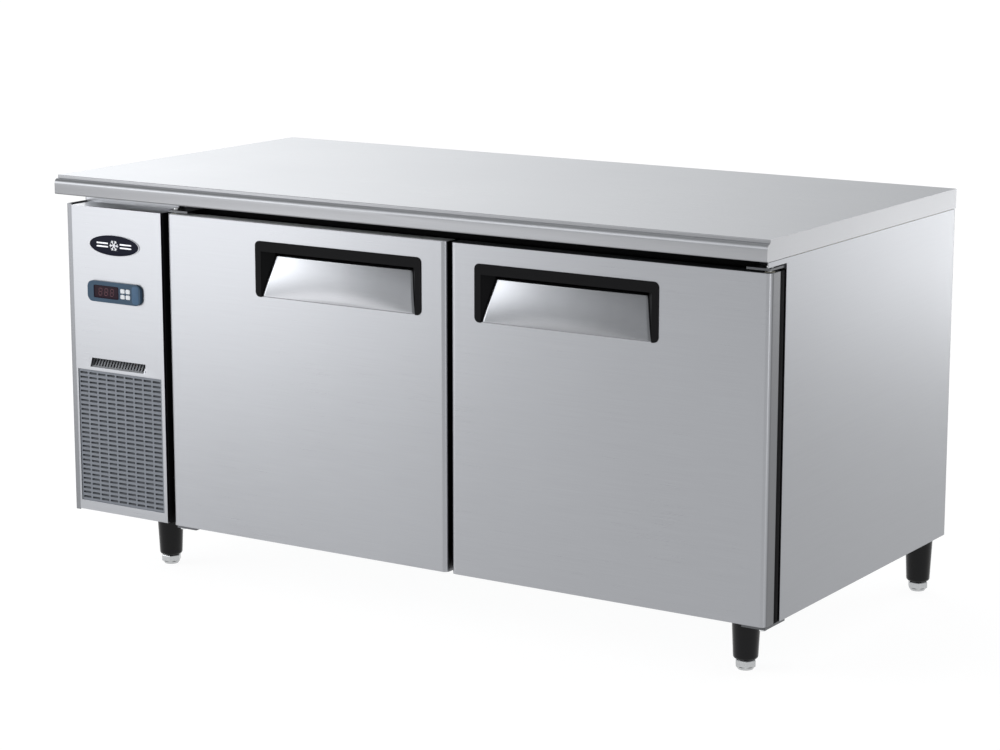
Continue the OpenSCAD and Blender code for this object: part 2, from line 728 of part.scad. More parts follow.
module handle_rim(side) color("black") on_door(side) {
    difference() {
        union() {
            block([recess_x[0] + gap, recess_x[1] - gap], [door_front, door_front + recess_back + recess_wall],
                [recess_z[0] + gap, recess_z[1] - gap]);
            translate([handle_xc, 0, (handle_z0 + handle_z1) / 2])
                stand(door_front - rim_proud, door_front) round_rect(handle_w, handle_h, 10);
        }
        // The recess itself
        intersection() {
            run_x(handle_xc - recess_half, handle_xc + recess_half) recess_section();
            translate([0, 0, handle_z0 - 1]) linear_extrude(handle_h) recess_plan(0);
        }
        // The rim is open at the bottom, between its two legs
        block([handle_xc - recess_half, handle_xc + recess_half], [door_front - 4, door_front],
            [handle_z0 - 1, handle_z1 - rim_top]);
        // Bed of the steel scoop
        intersection() {
            run_x(handle_xc - recess_half, handle_xc + recess_half) scoop_section(1.4);
            translate([0, 0, handle_z0 - 1]) linear_extrude(handle_h) recess_plan(0);
        }
    }
}

module scoop_section(t) {
    polygon([[door_front - 0.01, scoop_z0], [door_front + scoop_depth, scoop_z0 + scoop_rise],
        [door_front + scoop_depth + t, scoop_z0 + scoop_rise], [door_front + t, scoop_z0]]);
}

module handle_scoop(side) color("silver") on_door(side) intersection() {
    run_x(handle_xc - recess_half, handle_xc + recess_half) scoop_section(1.1);
    translate([0, 0, scoop_z0 + 0.3]) linear_extrude(handle_h) recess_plan(0.3);
}

module door_bushes(side) color("ivory") on_door(side)
    for (z = [[door_z0, door_z0 + 16, door_z0 - 1], [door_z1 - 16, door_z1, door_z1]]) difference() {
        union() {
            rod_z(bush_r, hinge_x, hinge_y, z[0], z[1]);
            rod_z(9, hinge_x, hinge_y, z[2], z[2] + 1);
        }
        rod_z(4 + fit, hinge_x, hinge_y, z[0] - 3, z[1] + 3);
    }

module left_door_skin() door_skin("left");
module left_door_foam() door_foam("left");
module left_door_liner() door_liner("left");
module left_door_gasket() door_gasket("left");
module left_handle_rim() handle_rim("left");
module left_handle_scoop() handle_scoop("left");
module left_door_bushes() door_bushes("left");
module right_door_skin() door_skin("right");
module right_door_foam() door_foam("right");
module right_door_liner() door_liner("right");
module right_door_gasket() door_gasket("right");
module right_handle_rim() handle_rim("right");
module right_handle_scoop() handle_scoop("right");
module right_door_bushes() door_bushes("right");

// ---------------------------------------------------------------- hinges, legs and gland

pin_r = 4;
module hinge_brackets() color("silver") for (side = ["left", "right"]) on_door(side) {
    x = [door_x0 + 3, door_x0 + 50];
    // Top: folded plate under the worktop
    difference() {
        union() {
            block(x, [hinge_y - 14, y_frame], [door_z1 + 4, door_z1 + 8]);
            block(x, [y_frame - 4, y_frame - 0.02], [door_z1 + 4, z_deck - 0.5]);
        }
        rod_z(pin_r + 0.02, hinge_x, hinge_y, door_z1, z_deck);
    }
    // Bottom: flat plate under the cabinet's floor
    difference() {
        block(x, [hinge_y - 9, y_frame + 26], [z_base - 5, z_base - 0.02]);
        rod_z(pin_r + 0.02, hinge_x, hinge_y, z_base - 6, z_base + 1);
    }
}

module hinge_pins() color("gray") for (side = ["left", "right"]) on_door(side) {
    rod_z(pin_r, hinge_x, hinge_y, door_z1 - 14, door_z1 + 8);
    rod_z(6.5, hinge_x, hinge_y, door_z1 + 8.02, door_z1 + 11);
    rod_z(pin_r, hinge_x, hinge_y, z_base - 5, door_z0 + 14);
    rod_z(6.5, hinge_x, hinge_y, z_base - 8, z_base - 5.02);
}

// Tapered black sleeve with a square flange screwed under the cabinet
module leg_sleeves() color("black") for (p = leg_places) translate([p[0], p[1], 0]) difference() {
    union() {
        rotate_extrude() polygon(concat([[0, foot_h], [18, foot_h]],
            arc([18, foot_h + 5], 5, -90, 0, 4), [[27, z_base - 0.3], [0, z_base - 0.3]]));
        translate([0, 0, z_base - 4.5]) linear_extrude(4.2) round_rect(58, 58, 8);
    }
    translate([0, 0, foot_h - 1]) cylinder(r = stud_r + fit, h = 70);
}

// Hexagon foot with a round pad and a stud that screws up into the sleeve
module foot(p) color("lightgray") translate([p[0], p[1], 0]) {
    cylinder(r1 = 14, r2 = 17, h = 5);
    translate([0, 0, 5]) cylinder(r = 20.5, h = foot_h - 5.3, $fn = 6);
    translate([0, 0, foot_h - 1]) cylinder(r = stud_r, h = 62);
}

module foot_front_left() foot(leg_places[0]);
module foot_front_right() foot(leg_places[1]);
module foot_rear_left() foot(leg_places[2]);
module foot_rear_right() foot(leg_places[3]);

// Bushing that the supply lead passes through in the rear panel
module power_gland() color("black") difference() {
    union() {
        rod_y(10.8, x_left + 60, cabinet_back - 8, cabinet_back + 1, 150);
        rod_y(14, x_left + 60, cabinet_back - 4, cabinet_back - gap, 150);
    }
    rod_y(4.5, x_left + 60, cabinet_back - 9, cabinet_back + 2, 150);
}

worktop();
worktop_core();
right_side_panel();
left_side_panel();
rear_panel();
bottom_panel();
partition_panel();
insulation();
inner_liner();
front_frame();
machine_base();
machine_rail();
machine_front_panel();
machine_grille();
nameplate();
controller_bezel();
controller_body();
controller_window();
button_set();
button_defrost();
button_up();
button_down();
condenser_coil();
condenser_shroud();
condenser_motor();
condenser_fan();
compressor();
compressor_mounts();
refrigerant_lines();
drain_pan();
evaporator_coil();
evaporator_cover();
evaporator_motor();
evaporator_fan();
shelf_left();
shelf_right();
shelf_posts();
shelf_clips();
left_door_skin();
left_door_foam();
left_door_liner();
left_door_gasket();
left_handle_rim();
left_handle_scoop();
left_door_bushes();
right_door_skin();
right_door_foam();
right_door_liner();
right_door_gasket();
right_handle_rim();
right_handle_scoop();
right_door_bushes();
hinge_brackets();
hinge_pins();
leg_sleeves();
foot_front_left();
foot_front_right();
foot_rear_left();
foot_rear_right();
power_gland();
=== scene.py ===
"""Looks of the undercounter refrigerator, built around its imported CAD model."""

import json
import math
import random

import bmesh
import bpy
from mathutils import Matrix, Vector
from mathutils.geometry import tessellate_polygon


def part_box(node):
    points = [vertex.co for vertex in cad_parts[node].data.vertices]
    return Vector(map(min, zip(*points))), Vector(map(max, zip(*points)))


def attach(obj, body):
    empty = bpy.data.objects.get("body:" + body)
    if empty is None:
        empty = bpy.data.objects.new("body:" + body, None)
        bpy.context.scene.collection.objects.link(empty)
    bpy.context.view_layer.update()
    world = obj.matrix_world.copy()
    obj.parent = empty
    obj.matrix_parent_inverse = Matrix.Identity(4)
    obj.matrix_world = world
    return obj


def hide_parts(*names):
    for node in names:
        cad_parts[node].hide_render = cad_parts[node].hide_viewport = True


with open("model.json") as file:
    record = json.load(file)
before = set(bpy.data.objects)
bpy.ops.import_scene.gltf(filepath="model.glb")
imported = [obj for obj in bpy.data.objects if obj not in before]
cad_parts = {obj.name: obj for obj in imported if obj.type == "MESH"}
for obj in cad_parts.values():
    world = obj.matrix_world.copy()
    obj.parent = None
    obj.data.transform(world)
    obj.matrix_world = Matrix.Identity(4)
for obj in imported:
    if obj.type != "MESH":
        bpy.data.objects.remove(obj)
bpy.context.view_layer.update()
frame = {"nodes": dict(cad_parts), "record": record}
nodes = frame["nodes"]
scene = bpy.context.scene
scene.view_settings.view_transform = "Standard"


MM = 0.001
# In metres: closer points are joined, and shorter edges are removed
SAME_POINT, NO_LENGTH, SAME_CAD_POINT = 0.000002, 0.000001, 0.00001
CAD_CREASE = 32
SPECULAR = "Specular IOR Level"
MATERIALS = {}


# ------------------------------------------------------------------ materials


def maths(tree, operation, *values):
    """A Math node. Each value is a number or another node's output."""
    node = tree.nodes.new("ShaderNodeMath")
    node.operation = operation
    for socket, value in zip(node.inputs, values):
        if isinstance(value, (int, float)):
            socket.default_value = value
        else:
            tree.links.new(value, socket)
    return node.outputs[0]


def grain(scale, **values):
    """One layer of a surface: its scale (one number, or one for each axis) and what it changes."""
    return {"scale": scale if isinstance(scale, (list, tuple)) else (scale,) * 3, **values}


def surface(name, colour, rough, metallic=0.0, layers=(), sockets=None, tangent=None, shade=()):
    """Makes a Principled material whose colour, roughness and relief vary with layers of noise.

    Each layer comes from grain() and has any of kind, detail, colour, rough, bump and depth.
    Its kind is noise unless it says voronoi, or tilt, which leans the shading of upright faces evenly.
    Each shade is painted shade, given as (amount, ranges): the colour is taken down by amount where every range is
    full, and a range is (output of the coordinate node, axis, start, end). A negative amount paints light instead.
    """
    mat = MATERIALS[name] = bpy.data.materials.new(name)
    mat.use_nodes = True
    tree = mat.node_tree
    shader = tree.nodes["Principled BSDF"]
    shader.inputs["Base Color"].default_value = (*colour, 1)
    shader.inputs["Roughness"].default_value = rough
    shader.inputs["Metallic"].default_value = metallic
    for key, value in (sockets or {}).items():
        shader.inputs[key].default_value = value
    link = tree.links.new
    coords = tree.nodes.new("ShaderNodeTexCoord")

    def plus(total, part):
        return part if total is None else maths(tree, "ADD", total, part)

    brightness = roughness = normal = None
    for i, layer in enumerate(layers):
        mapping = tree.nodes.new("ShaderNodeMapping")
        mapping.inputs["Scale"].default_value = layer["scale"]
        mapping.inputs["Location"].default_value = (i * 3.7, i * 5.1, i * 1.3)
        link(coords.outputs["Object"], mapping.inputs["Vector"])
        if layer.get("kind") == "tilt":
            noise = tree.nodes.new("ShaderNodeSeparateXYZ")
            value = noise.outputs["Z"]
        elif layer.get("kind") == "voronoi":
            noise = tree.nodes.new("ShaderNodeTexVoronoi")
            noise.inputs["Scale"].default_value = 1.0
            value = noise.outputs["Color"]
        else:
            noise = tree.nodes.new("ShaderNodeTexNoise")
            noise.inputs["Scale"].default_value = 1.0
            noise.inputs["Detail"].default_value = layer.get("detail", 3.0)
            value = noise.outputs["Fac"]
        link(mapping.outputs[0], noise.inputs[0])
        # From 0..1 to -1..1
        swing = maths(tree, "MULTIPLY_ADD", value, 2.0, -1.0)
        if "colour" in layer:
            brightness = plus(brightness, maths(tree, "MULTIPLY", swing, layer["colour"]))
        if "rough" in layer:
            roughness = plus(roughness, maths(tree, "MULTIPLY", swing, layer["rough"]))
        if "bump" in layer:
            bump = tree.nodes.new("ShaderNodeBump")
            bump.inputs["Strength"].default_value = layer["bump"]
            bump.inputs["Distance"].default_value = layer.get("depth", 0.0002)
            link(value, bump.inputs["Height"])
            if normal is not None:
                link(normal, bump.inputs["Normal"])
            normal = bump.outputs[0]
    for amount, ranges in shade:
        part = amount
        for output, axis, start, end in ranges:
            split = tree.nodes.new("ShaderNodeSeparateXYZ")
            link(coords.outputs[output], split.inputs[0])
            ramp = tree.nodes.new("ShaderNodeMapRange")
            ramp.inputs["From Min"].default_value = start
            ramp.inputs["From Max"].default_value = end
            link(split.outputs[axis], ramp.inputs["Value"])
            part = maths(tree, "MULTIPLY", ramp.outputs[0], part)
        brightness = plus(brightness, maths(tree, "SUBTRACT", 0.0, part))
    if brightness is not None:
        scaled = tree.nodes.new("ShaderNodeVectorMath")
        scaled.operation = "SCALE"
        scaled.inputs[0].default_value = colour
        link(maths(tree, "ADD", brightness, 1.0), scaled.inputs["Scale"])
        link(scaled.outputs[0], shader.inputs["Base Color"])
    if roughness is not None:
        link(maths(tree, "ADD", roughness, rough), shader.inputs["Roughness"])
    if normal is not None:
        link(normal, shader.inputs["Normal"])
    if tangent:
        direction = tree.nodes.new("ShaderNodeTangent")
        direction.direction_type = "RADIAL"
        direction.axis = tangent
        link(direction.outputs[0], shader.inputs["Tangent"])


def brushed(name, colour, rough, along, tangent, wave=0.4, shade=(), extra=()):
    """Brushed stainless: hairlines along one axis, slow waviness of the sheet, and faint smudges."""
    fine = [1400.0, 1400.0, 1400.0]
    fine["XYZ".index(along)] = 9.0
    medium = [v / 5 for v in fine]
    medium["XYZ".index(along)] = 3.0
    surface(name, colour, rough, 1.0, [
        grain(fine, colour=0.07, rough=0.05, bump=0.10, depth=0.00005, detail=2.0),
        grain(medium, colour=0.02, rough=0.02, detail=2.0),
        grain(1.6, bump=wave, depth=0.003, detail=0.0),
        grain(3.0, rough=0.025, colour=0.012, detail=2.0),
        *extra], {"Anisotropic": 0.55, "Anisotropic Rotation": 0.25}, tangent, shade)


STEEL = (0.350, 0.357, 0.376)
# Painted shade: the side panels' front edges, the worktop's front edge (darker towards its left end, and 2 percent
# lighter all along as painted light) and its groove, and the doors' side edges are darkened in colour in place of the
# shade and darker reflections on them. The worktop's tilt leans its upright edges by about 3 degrees.
brushed("steel_front", STEEL, 0.30, "X", "Z")
brushed("steel_side", (0.304, 0.311, 0.328), 0.32, "Y", "Z", 0.4, [(0.35, [("Normal", 1, -0.6, -0.95)])])
brushed("steel_top", (0.300, 0.304, 0.316), 0.30, "X", "Y", 0.2, [
    (-0.02, [("Normal", 1, -0.5, -0.95)]),
    (0.34, [("Normal", 1, -0.5, -0.95), ("Object", 0, 0.45, -0.8)]),
    (0.40, [("Normal", 1, 0.08, 0.25), ("Normal", 2, 0.5, 0.8)])],
    [grain((1, 1, -0.06), kind="tilt", bump=1.0, depth=1.0)])
brushed("steel_door", STEEL, 0.30, "X", "Z", 0.4, [
    (0.60, [("Normal", 0, 0.85, 0.99)]), (0.60, [("Normal", 0, -0.85, -0.99)])])
# The hinge brackets' steel is near black: painted shade, so they sit in with the shade under the worktop and doors
brushed("bracket", (0.11, 0.113, 0.12), 0.42, "X", "Z")
# Lit and shaded copies of one door-top finish: the left door's cap is painted light, the right door's cap is painted
# shade
surface("cap_pale", (0.68, 0.70, 0.71), 0.45, 0.0, [
    grain((9, 900, 900), colour=0.08, rough=0.05, bump=0.1, depth=0.00005),
    grain(5, colour=0.05)], {SPECULAR: 0.4})
surface("cap_dark", (0.035, 0.037, 0.04), 0.5, 0.0, [
    grain((9, 900, 900), colour=0.08, rough=0.05, bump=0.1, depth=0.00005),
    grain(5, colour=0.08)], {SPECULAR: 0.2})
surface("foot_steel", (0.48, 0.49, 0.495), 0.28, 1.0, [
    grain(500, colour=0.06, rough=0.06, bump=0.08, depth=0.00004),
    grain(60, rough=0.08, colour=0.06)])
surface("grip_dark", (0.14, 0.145, 0.155), 0.5, 0.2, [
    grain(600, colour=0.15, bump=0.25, depth=0.0001, rough=0.06),
    grain(80, colour=0.2)], {SPECULAR: 0.3})
surface("badge_light", (0.66, 0.67, 0.70), 0.3, 0.6, [
    grain(900, bump=0.15, depth=0.00004, rough=0.05),
    grain(70, colour=0.05)])
surface("overlay", (0.045, 0.095, 0.165), 0.4, 0.0, [
    grain(1500, bump=0.2, depth=0.00005, rough=0.04),
    grain(60, colour=0.15)], {SPECULAR: 0.2})
surface("segments", (0.06, 0.006, 0.016), 0.4, 0.0, [
    grain(600, colour=0.1, rough=0.05)],
    {"Emission Color": (0.35, 0.02, 0.05, 1), "Emission Strength": 0.06})
surface("steel_bright", (0.66, 0.67, 0.68), 0.26, 1.0, [
    grain(300, colour=0.05, rough=0.06, bump=0.1, depth=0.00005),
    grain(30, rough=0.05, colour=0.04)])
surface("zinc", (0.50, 0.52, 0.53), 0.45, 0.9, [
    grain(70, kind="voronoi", colour=0.05, rough=0.05),
    grain(8, colour=0.04, rough=0.05)])
surface("black_plastic", (0.004, 0.004, 0.0046), 0.55, 0.0, [
    grain(1800, bump=0.25, depth=0.00008, rough=0.05, detail=1.0),
    grain(14, colour=0.12, rough=0.05)], {SPECULAR: 0.07})
surface("leg_plastic", (0.003, 0.003, 0.0035), 0.24, 0.0, [
    grain(1500, bump=0.2, depth=0.00006, rough=0.04, detail=1.0),
    grain((25, 25, 10), colour=0.15, rough=0.06)], {SPECULAR: 0.18})
surface("liner", (0.80, 0.81, 0.82), 0.34, 0.0, [
    grain(9, colour=0.02, rough=0.05, bump=0.15, depth=0.001),
    grain(600, bump=0.1, depth=0.00006)])
surface("foam", (0.72, 0.62, 0.34), 0.9, 0.0, [
    grain(500, colour=0.1, bump=0.6, depth=0.0006),
    grain(14, colour=0.1)])
# The core board is near black: painted shade for the seam under the worktop, where the core shows
surface("board", (0.035, 0.032, 0.03), 0.8, 0.0, [
    grain((12, 400, 400), colour=0.3, bump=0.4, depth=0.0003),
    grain((3, 30, 30), colour=0.2)])
surface("rubber", (0.0035, 0.0035, 0.004), 0.62, 0.0, [
    grain(900, bump=0.3, depth=0.00008, rough=0.06),
    grain(20, colour=0.2, rough=0.08)], {SPECULAR: 0.02})
surface("grille", (0.155, 0.167, 0.19), 0.5, 0.35, [
    grain(700, bump=0.2, depth=0.00008, colour=0.06),
    grain((60, 60, 90), colour=0.16, rough=0.08)])
# A darker copy of the grille's colour for its louvres: painted shade inside the slots
surface("grille_shade", (0.11, 0.118, 0.13), 0.55, 0.2, [
    grain(700, bump=0.2, depth=0.00008, colour=0.1),
    grain((60, 60, 90), colour=0.25, rough=0.08)], {SPECULAR: 0.3})
surface("controller", (0.036, 0.068, 0.108), 0.42, 0.0, [
    grain(1600, bump=0.2, depth=0.00006, rough=0.04),
    grain(12, colour=0.2)], {SPECULAR: 0.16})
surface("display", (0.014, 0.004, 0.010), 0.16, 0.0, [
    grain(30, colour=0.1, rough=0.03),
    grain(300, rough=0.02)], {SPECULAR: 0.07})
surface("key", (0.62, 0.64, 0.66), 0.42, 0.0, [
    grain(900, bump=0.15, depth=0.00005),
    grain(90, colour=0.05, rough=0.06)])
surface("badge", (0.004, 0.005, 0.014), 0.3, 0.0, [
    grain(40, colour=0.15, rough=0.05, bump=0.1, depth=0.0003)],
    {SPECULAR: 0.06})
surface("enamel", (0.012, 0.012, 0.013), 0.34, 0.0, [
    grain(120, bump=0.3, depth=0.0003, rough=0.06),
    grain(12, colour=0.2)])
surface("alloy_blade", (0.42, 0.43, 0.44), 0.4, 0.9, [
    grain(300, colour=0.08, rough=0.08, bump=0.1, depth=0.00006),
    grain(25, colour=0.08, rough=0.08)])
surface("fins", (0.66, 0.67, 0.68), 0.34, 1.0, [
    grain((8, 500, 500), colour=0.08, rough=0.08, bump=0.3, depth=0.0002)])
surface("copper", (0.72, 0.33, 0.18), 0.28, 1.0, [
    grain(60, colour=0.16, rough=0.12),
    grain(500, bump=0.1, depth=0.00005)])
surface("wire", (0.70, 0.71, 0.72), 0.36, 0.0, [
    grain(200, bump=0.15, depth=0.0001, rough=0.05),
    grain(9, colour=0.05)], {"Coat Weight": 0.3})
surface("nylon", (0.74, 0.71, 0.60), 0.45, 0.0, [
    grain(300, bump=0.15, depth=0.00008, colour=0.04)])
# Painted shade: each scoop's colour darkens from its middle towards its left end, and more towards its right end, in
# place of the reflections across it
for side in ("left", "right"):
    lo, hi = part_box(side + "_handle_scoop")
    middle = (lo[0] + hi[0]) / 2
    surface(side + "_scoop", (0.280, 0.285, 0.298), 0.24, 1.0, [
        grain((12, 900, 900), colour=0.04, rough=0.03, bump=0.05, depth=0.00004),
        grain(40, rough=0.02, colour=0.015)], None, None, [
        (0.08, [("Object", 0, middle, lo[0])]), (0.24, [("Object", 0, middle, hi[0])])])
SLOTS = {
    "brushed_steel": "steel_front", "bright_steel": "steel_bright", "galvanised": "zinc",
    "black_plastic": "black_plastic", "leg_plastic": "leg_plastic", "liner_plastic": "liner",
    "foam": "foam", "core_board": "board", "gasket_rubber": "rubber", "grille_metal": "grille",
    "controller_blue": "controller", "display_red": "display", "key_plastic": "key",
    "plate_blue": "badge", "enamel_black": "enamel", "aluminium_fins": "fins",
    "copper_tube": "copper", "wire_coated": "wire", "bush_nylon": "nylon",
}

# ------------------------------------------------------------------ mesh tools, all in millimetres


class Shape:
    """Vertices and faces of one piece, in millimetres."""

    def __init__(self):
        self.verts, self.faces, self.index = [], [], []

    def add(self, part, place=None, index=0):
        verts, faces = part
        base = len(self.verts)
        self.verts += [place @ Vector(v) if place else Vector(v) for v in verts]
        self.faces += [[base + i for i in f] for f in faces]
        self.index += [index] * len(faces)
        return self


def aim(origin, direction):
    """Places a part drawn along Z so that it starts at origin and points in direction."""
    return Matrix.Translation(origin) @ Vector(direction).to_track_quat("Z", "Y").to_matrix().to_4x4()


def cuboid(lo, hi):
    """A block between two opposite corners."""
    x, y, z = zip(lo, hi)
    verts = [(x[i], y[j], z[k]) for i in (0, 1) for j in (0, 1) for k in (0, 1)]
    return verts, [[0, 1, 3, 2], [4, 6, 7, 5], [0, 4, 5, 1], [2, 3, 7, 6], [0, 2, 6, 4], [1, 5, 7, 3]]


def skin(rings, closed=False, caps=True):
    """Joins rings of equal length with quads, and closes the two ends."""
    n = len(rings[0])
    verts = [v for ring in rings for v in ring]
    faces = []
    count = len(rings)
    for k in range(count if closed else count - 1):
        a, b = k * n, (k + 1) % count * n
        faces += [[a + i, a + (i + 1) % n, b + (i + 1) % n, b + i] for i in range(n)]
    if caps and not closed:
        faces += [list(range(n))[::-1], [(count - 1) * n + i for i in range(n)]]
    return verts, faces


def lathe(profile, n=32, closed=False):
    """Turns a profile of (radius, height) about Z."""
    angles = [2 * math.pi * i / n for i in range(n)]
    return skin([[(r * math.cos(a), r * math.sin(a), z) for a in angles] for r, z in profile], closed)


def ring(radius, wire, n=48, m=8):
    """A torus of round wire about Z."""
    turns = [2 * math.pi * i / m for i in range(m)]
    return lathe([(radius + wire * math.cos(a), wire * math.sin(a)) for a in turns], n, True)


def bend(points, fillet, steps=6):
    """A polyline whose corners are rounded off."""
    points = [Vector(p) for p in points]
    path = [points[0]]
    for a, b, c in zip(points, points[1:], points[2:]):
        u, v = a - b, c - b
        cut = min(fillet, u.length * 0.48, v.length * 0.48)
        p, q = b + u.normalized() * cut, b + v.normalized() * cut
        for i in range(steps + 1):
            t = i / steps
            path.append(p * (1 - t) ** 2 + b * 2 * t * (1 - t) + q * t * t)
    return path + [points[-1]]


def tube(path, radius, n=12):
    """A round bar along a path, with softly rounded ends."""
    path = [Vector(p) for p in path]
    ends = []
    for p, q in ((path[0], path[1]), (path[-1], path[-2])):
        inward = (q - p).normalized() * radius * 0.35
        ends.append((p, p + inward))
    path = [ends[0][0], ends[0][1]] + path[1:-1] + [ends[1][1], ends[1][0]]
    radii = [radius * 0.7] + [radius] * (len(path) - 2) + [radius * 0.7]
    side = (path[1] - path[0]).orthogonal()
    rings = []
    for i, p in enumerate(path):
        along = (path[min(i + 1, len(path) - 1)] - path[max(i - 1, 0)]).normalized()
        side = (side - along * side.dot(along)).normalized()
        up = along.cross(side)
        rings.append([p + (side * math.cos(a) + up * math.sin(a)) * radii[i]
                      for a in (2 * math.pi * j / n for j in range(n))])
    return skin(rings)


def oblong(x, z, w, h, r, n=5):
    """Outline of a rounded rectangle in X and Z."""
    points = []
    for cx, cz, start in ((1, 1, 0), (-1, 1, 90), (-1, -1, 180), (1, -1, 270)):
        for i in range(n + 1):
            a = math.radians(start + 90 * i / n)
            points.append((x + cx * (w / 2 - r) + r * math.cos(a), z + cz * (h / 2 - r) + r * math.sin(a)))
    return points


def oval(x, z, w, h, n=64):
    """Outline of an ellipse in X and Z."""
    return [(x + w / 2 * math.cos(a), z + h / 2 * math.sin(a)) for a in (2 * math.pi * i / n for i in range(n))]


def plate(loops, y0, y1):
    """A flat plate from an outline and its holes, in X and Z, from y0 back to y1."""
    triangles = tessellate_polygon([[Vector((x, z, 0)) for x, z in loop] for loop in loops])
    flat = [p for loop in loops for p in loop]
    count = len(flat)
    verts = [(x, y0, z) for x, z in flat] + [(x, y1, z) for x, z in flat]
    faces = [list(t) for t in triangles] + [[count + i for i in reversed(t)] for t in triangles]
    base = 0
    for loop in loops:
        n = len(loop)
        faces += [[base + i, base + (i + 1) % n, count + base + (i + 1) % n, count + base + i] for i in range(n)]
        base += n
    return verts, faces


def pillow(outline, centre, levels):
    """A moulded pad: the outline shrunk about its centre at each level of (scale, y)."""
    cx, cz = centre
    rings = [[(cx + (x - cx) * s, y, cz + (z - cz) * s) for x, z in outline] for s, y in levels]
    return skin(rings)


def around(x0, x1, z0, z1, section):
    """A section of (inset, y) carried round a rectangle, with mitred corners."""
    corners = [(x0, z0, 1, 1), (x1, z0, -1, 1), (x1, z1, -1, -1), (x0, z1, 1, -1)]
    return skin([[(x + sx * i, y, z + sz * i) for i, y in section] for x, z, sx, sz in corners], True)


def hex_bolt(size):
    """Hexagon head with its washer face and a flanged foot, pointing along Z."""
    s = Shape()
    for n, profile in ((24, [(1.15, 0), (1.15, 0.12), (1.05, 0.22), (0.8, 0.24)]),
                       (6, [(0.82, 0.2), (0.82, 0.72), (0.66, 0.84), (0.3, 0.86)])):
        s.add(lathe([(size * r, size * z) for r, z in profile], n))
    return s.verts, s.faces


def soften(obj, width, segments, angle):
    """Rounds an object's edges, width in metres, and keeps its flat faces flat."""
    bevel = obj.modifiers.new("bevel", "BEVEL")
    bevel.width = width
    bevel.segments = segments
    bevel.limit_method = "ANGLE"
    bevel.angle_limit = math.radians(angle)
    bevel.use_clamp_overlap = True
    normals = obj.modifiers.new("normals", "WEIGHTED_NORMAL")
    normals.keep_sharp = False


def piece(name, shape, material, body, replaces=(), edge=0.0, segments=2, crease=38):
    """Turns a shape into an object that rides on a body and stands for CAD nodes."""
    mesh = bpy.data.meshes.new(name)
    mesh.from_pydata([v * MM for v in shape.verts], [], shape.faces)
    for m in [material] if isinstance(material, str) else material:
        mesh.materials.append(MATERIALS[m])
    for polygon, index in zip(mesh.polygons, shape.index):
        polygon.material_index = index
    work = bmesh.new()
    work.from_mesh(mesh)
    bmesh.ops.remove_doubles(work, verts=work.verts, dist=SAME_POINT)
    bmesh.ops.dissolve_degenerate(work, edges=work.edges, dist=NO_LENGTH)
    bmesh.ops.recalc_face_normals(work, faces=work.faces)
    work.to_mesh(mesh)
    work.free()
    for polygon in mesh.polygons:
        polygon.use_smooth = True
    obj = bpy.data.objects.new(name, mesh)
    scene.collection.objects.link(obj)
    if edge:
        soften(obj, edge * MM, segments, crease)
    else:
        mesh.set_sharp_from_angle(angle=math.radians(crease))
    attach(obj, body)
    if replaces:
        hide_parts(*([replaces] if isinstance(replaces, str) else replaces))
    return obj


def span(name):
    """A node's lowest and highest corners, in millimetres."""
    lo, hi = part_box(name)
    return lo * 1000, hi * 1000


def middle(lo, hi):
    """The point halfway between two corners."""
    return [(a + b) / 2 for a, b in zip(lo, hi)]


def front_of(lo, hi, r, n=5):
    """Outline of a box seen from the front, with rounded corners."""
    x, _, z = middle(lo, hi)
    return oblong(x, z, hi[0] - lo[0], hi[2] - lo[2], r, n)


# ------------------------------------------------------------------ CAD nodes that stay

# Rounding of the edges, in metres
EDGE = {"worktop": 0.002, "right_side_panel": 0.0006, "left_side_panel": 0.0005,
        "machine_front_panel": 0.0007, "left_door_skin": 0.0009, "right_door_skin": 0.0009,
        "left_handle_rim": 0.0012, "right_handle_rim": 0.0012, "leg_sleeves": 0.001,
        "hinge_brackets": 0.0006, "inner_liner": 0.0006, "front_frame": 0.001}


def finish_node(name, material, edge):
    """Gives a CAD node its material, rounded edges and smooth curved faces."""
    node = nodes[name]
    for polygon in node.data.polygons:
        polygon.use_smooth = True
    for material_slot in node.material_slots:
        material_slot.link = "OBJECT"
        material_slot.material = MATERIALS[material]
    weld = node.modifiers.new("weld", "WELD")
    weld.merge_threshold = SAME_CAD_POINT
    soften(node, edge, 2, CAD_CREASE)


material_of = {s["node"]: SLOTS[s["material_slot"]] for s in frame["record"]["subparts"]}
material_of.update(worktop="steel_top", right_side_panel="steel_side", left_side_panel="steel_side",
                   left_door_skin="steel_door", right_door_skin="steel_door", hinge_brackets="bracket")
for name in nodes:
    finish_node(name, material_of[name], EDGE.get(name, 0.0004))


# ------------------------------------------------------------------ front of the machine compartment


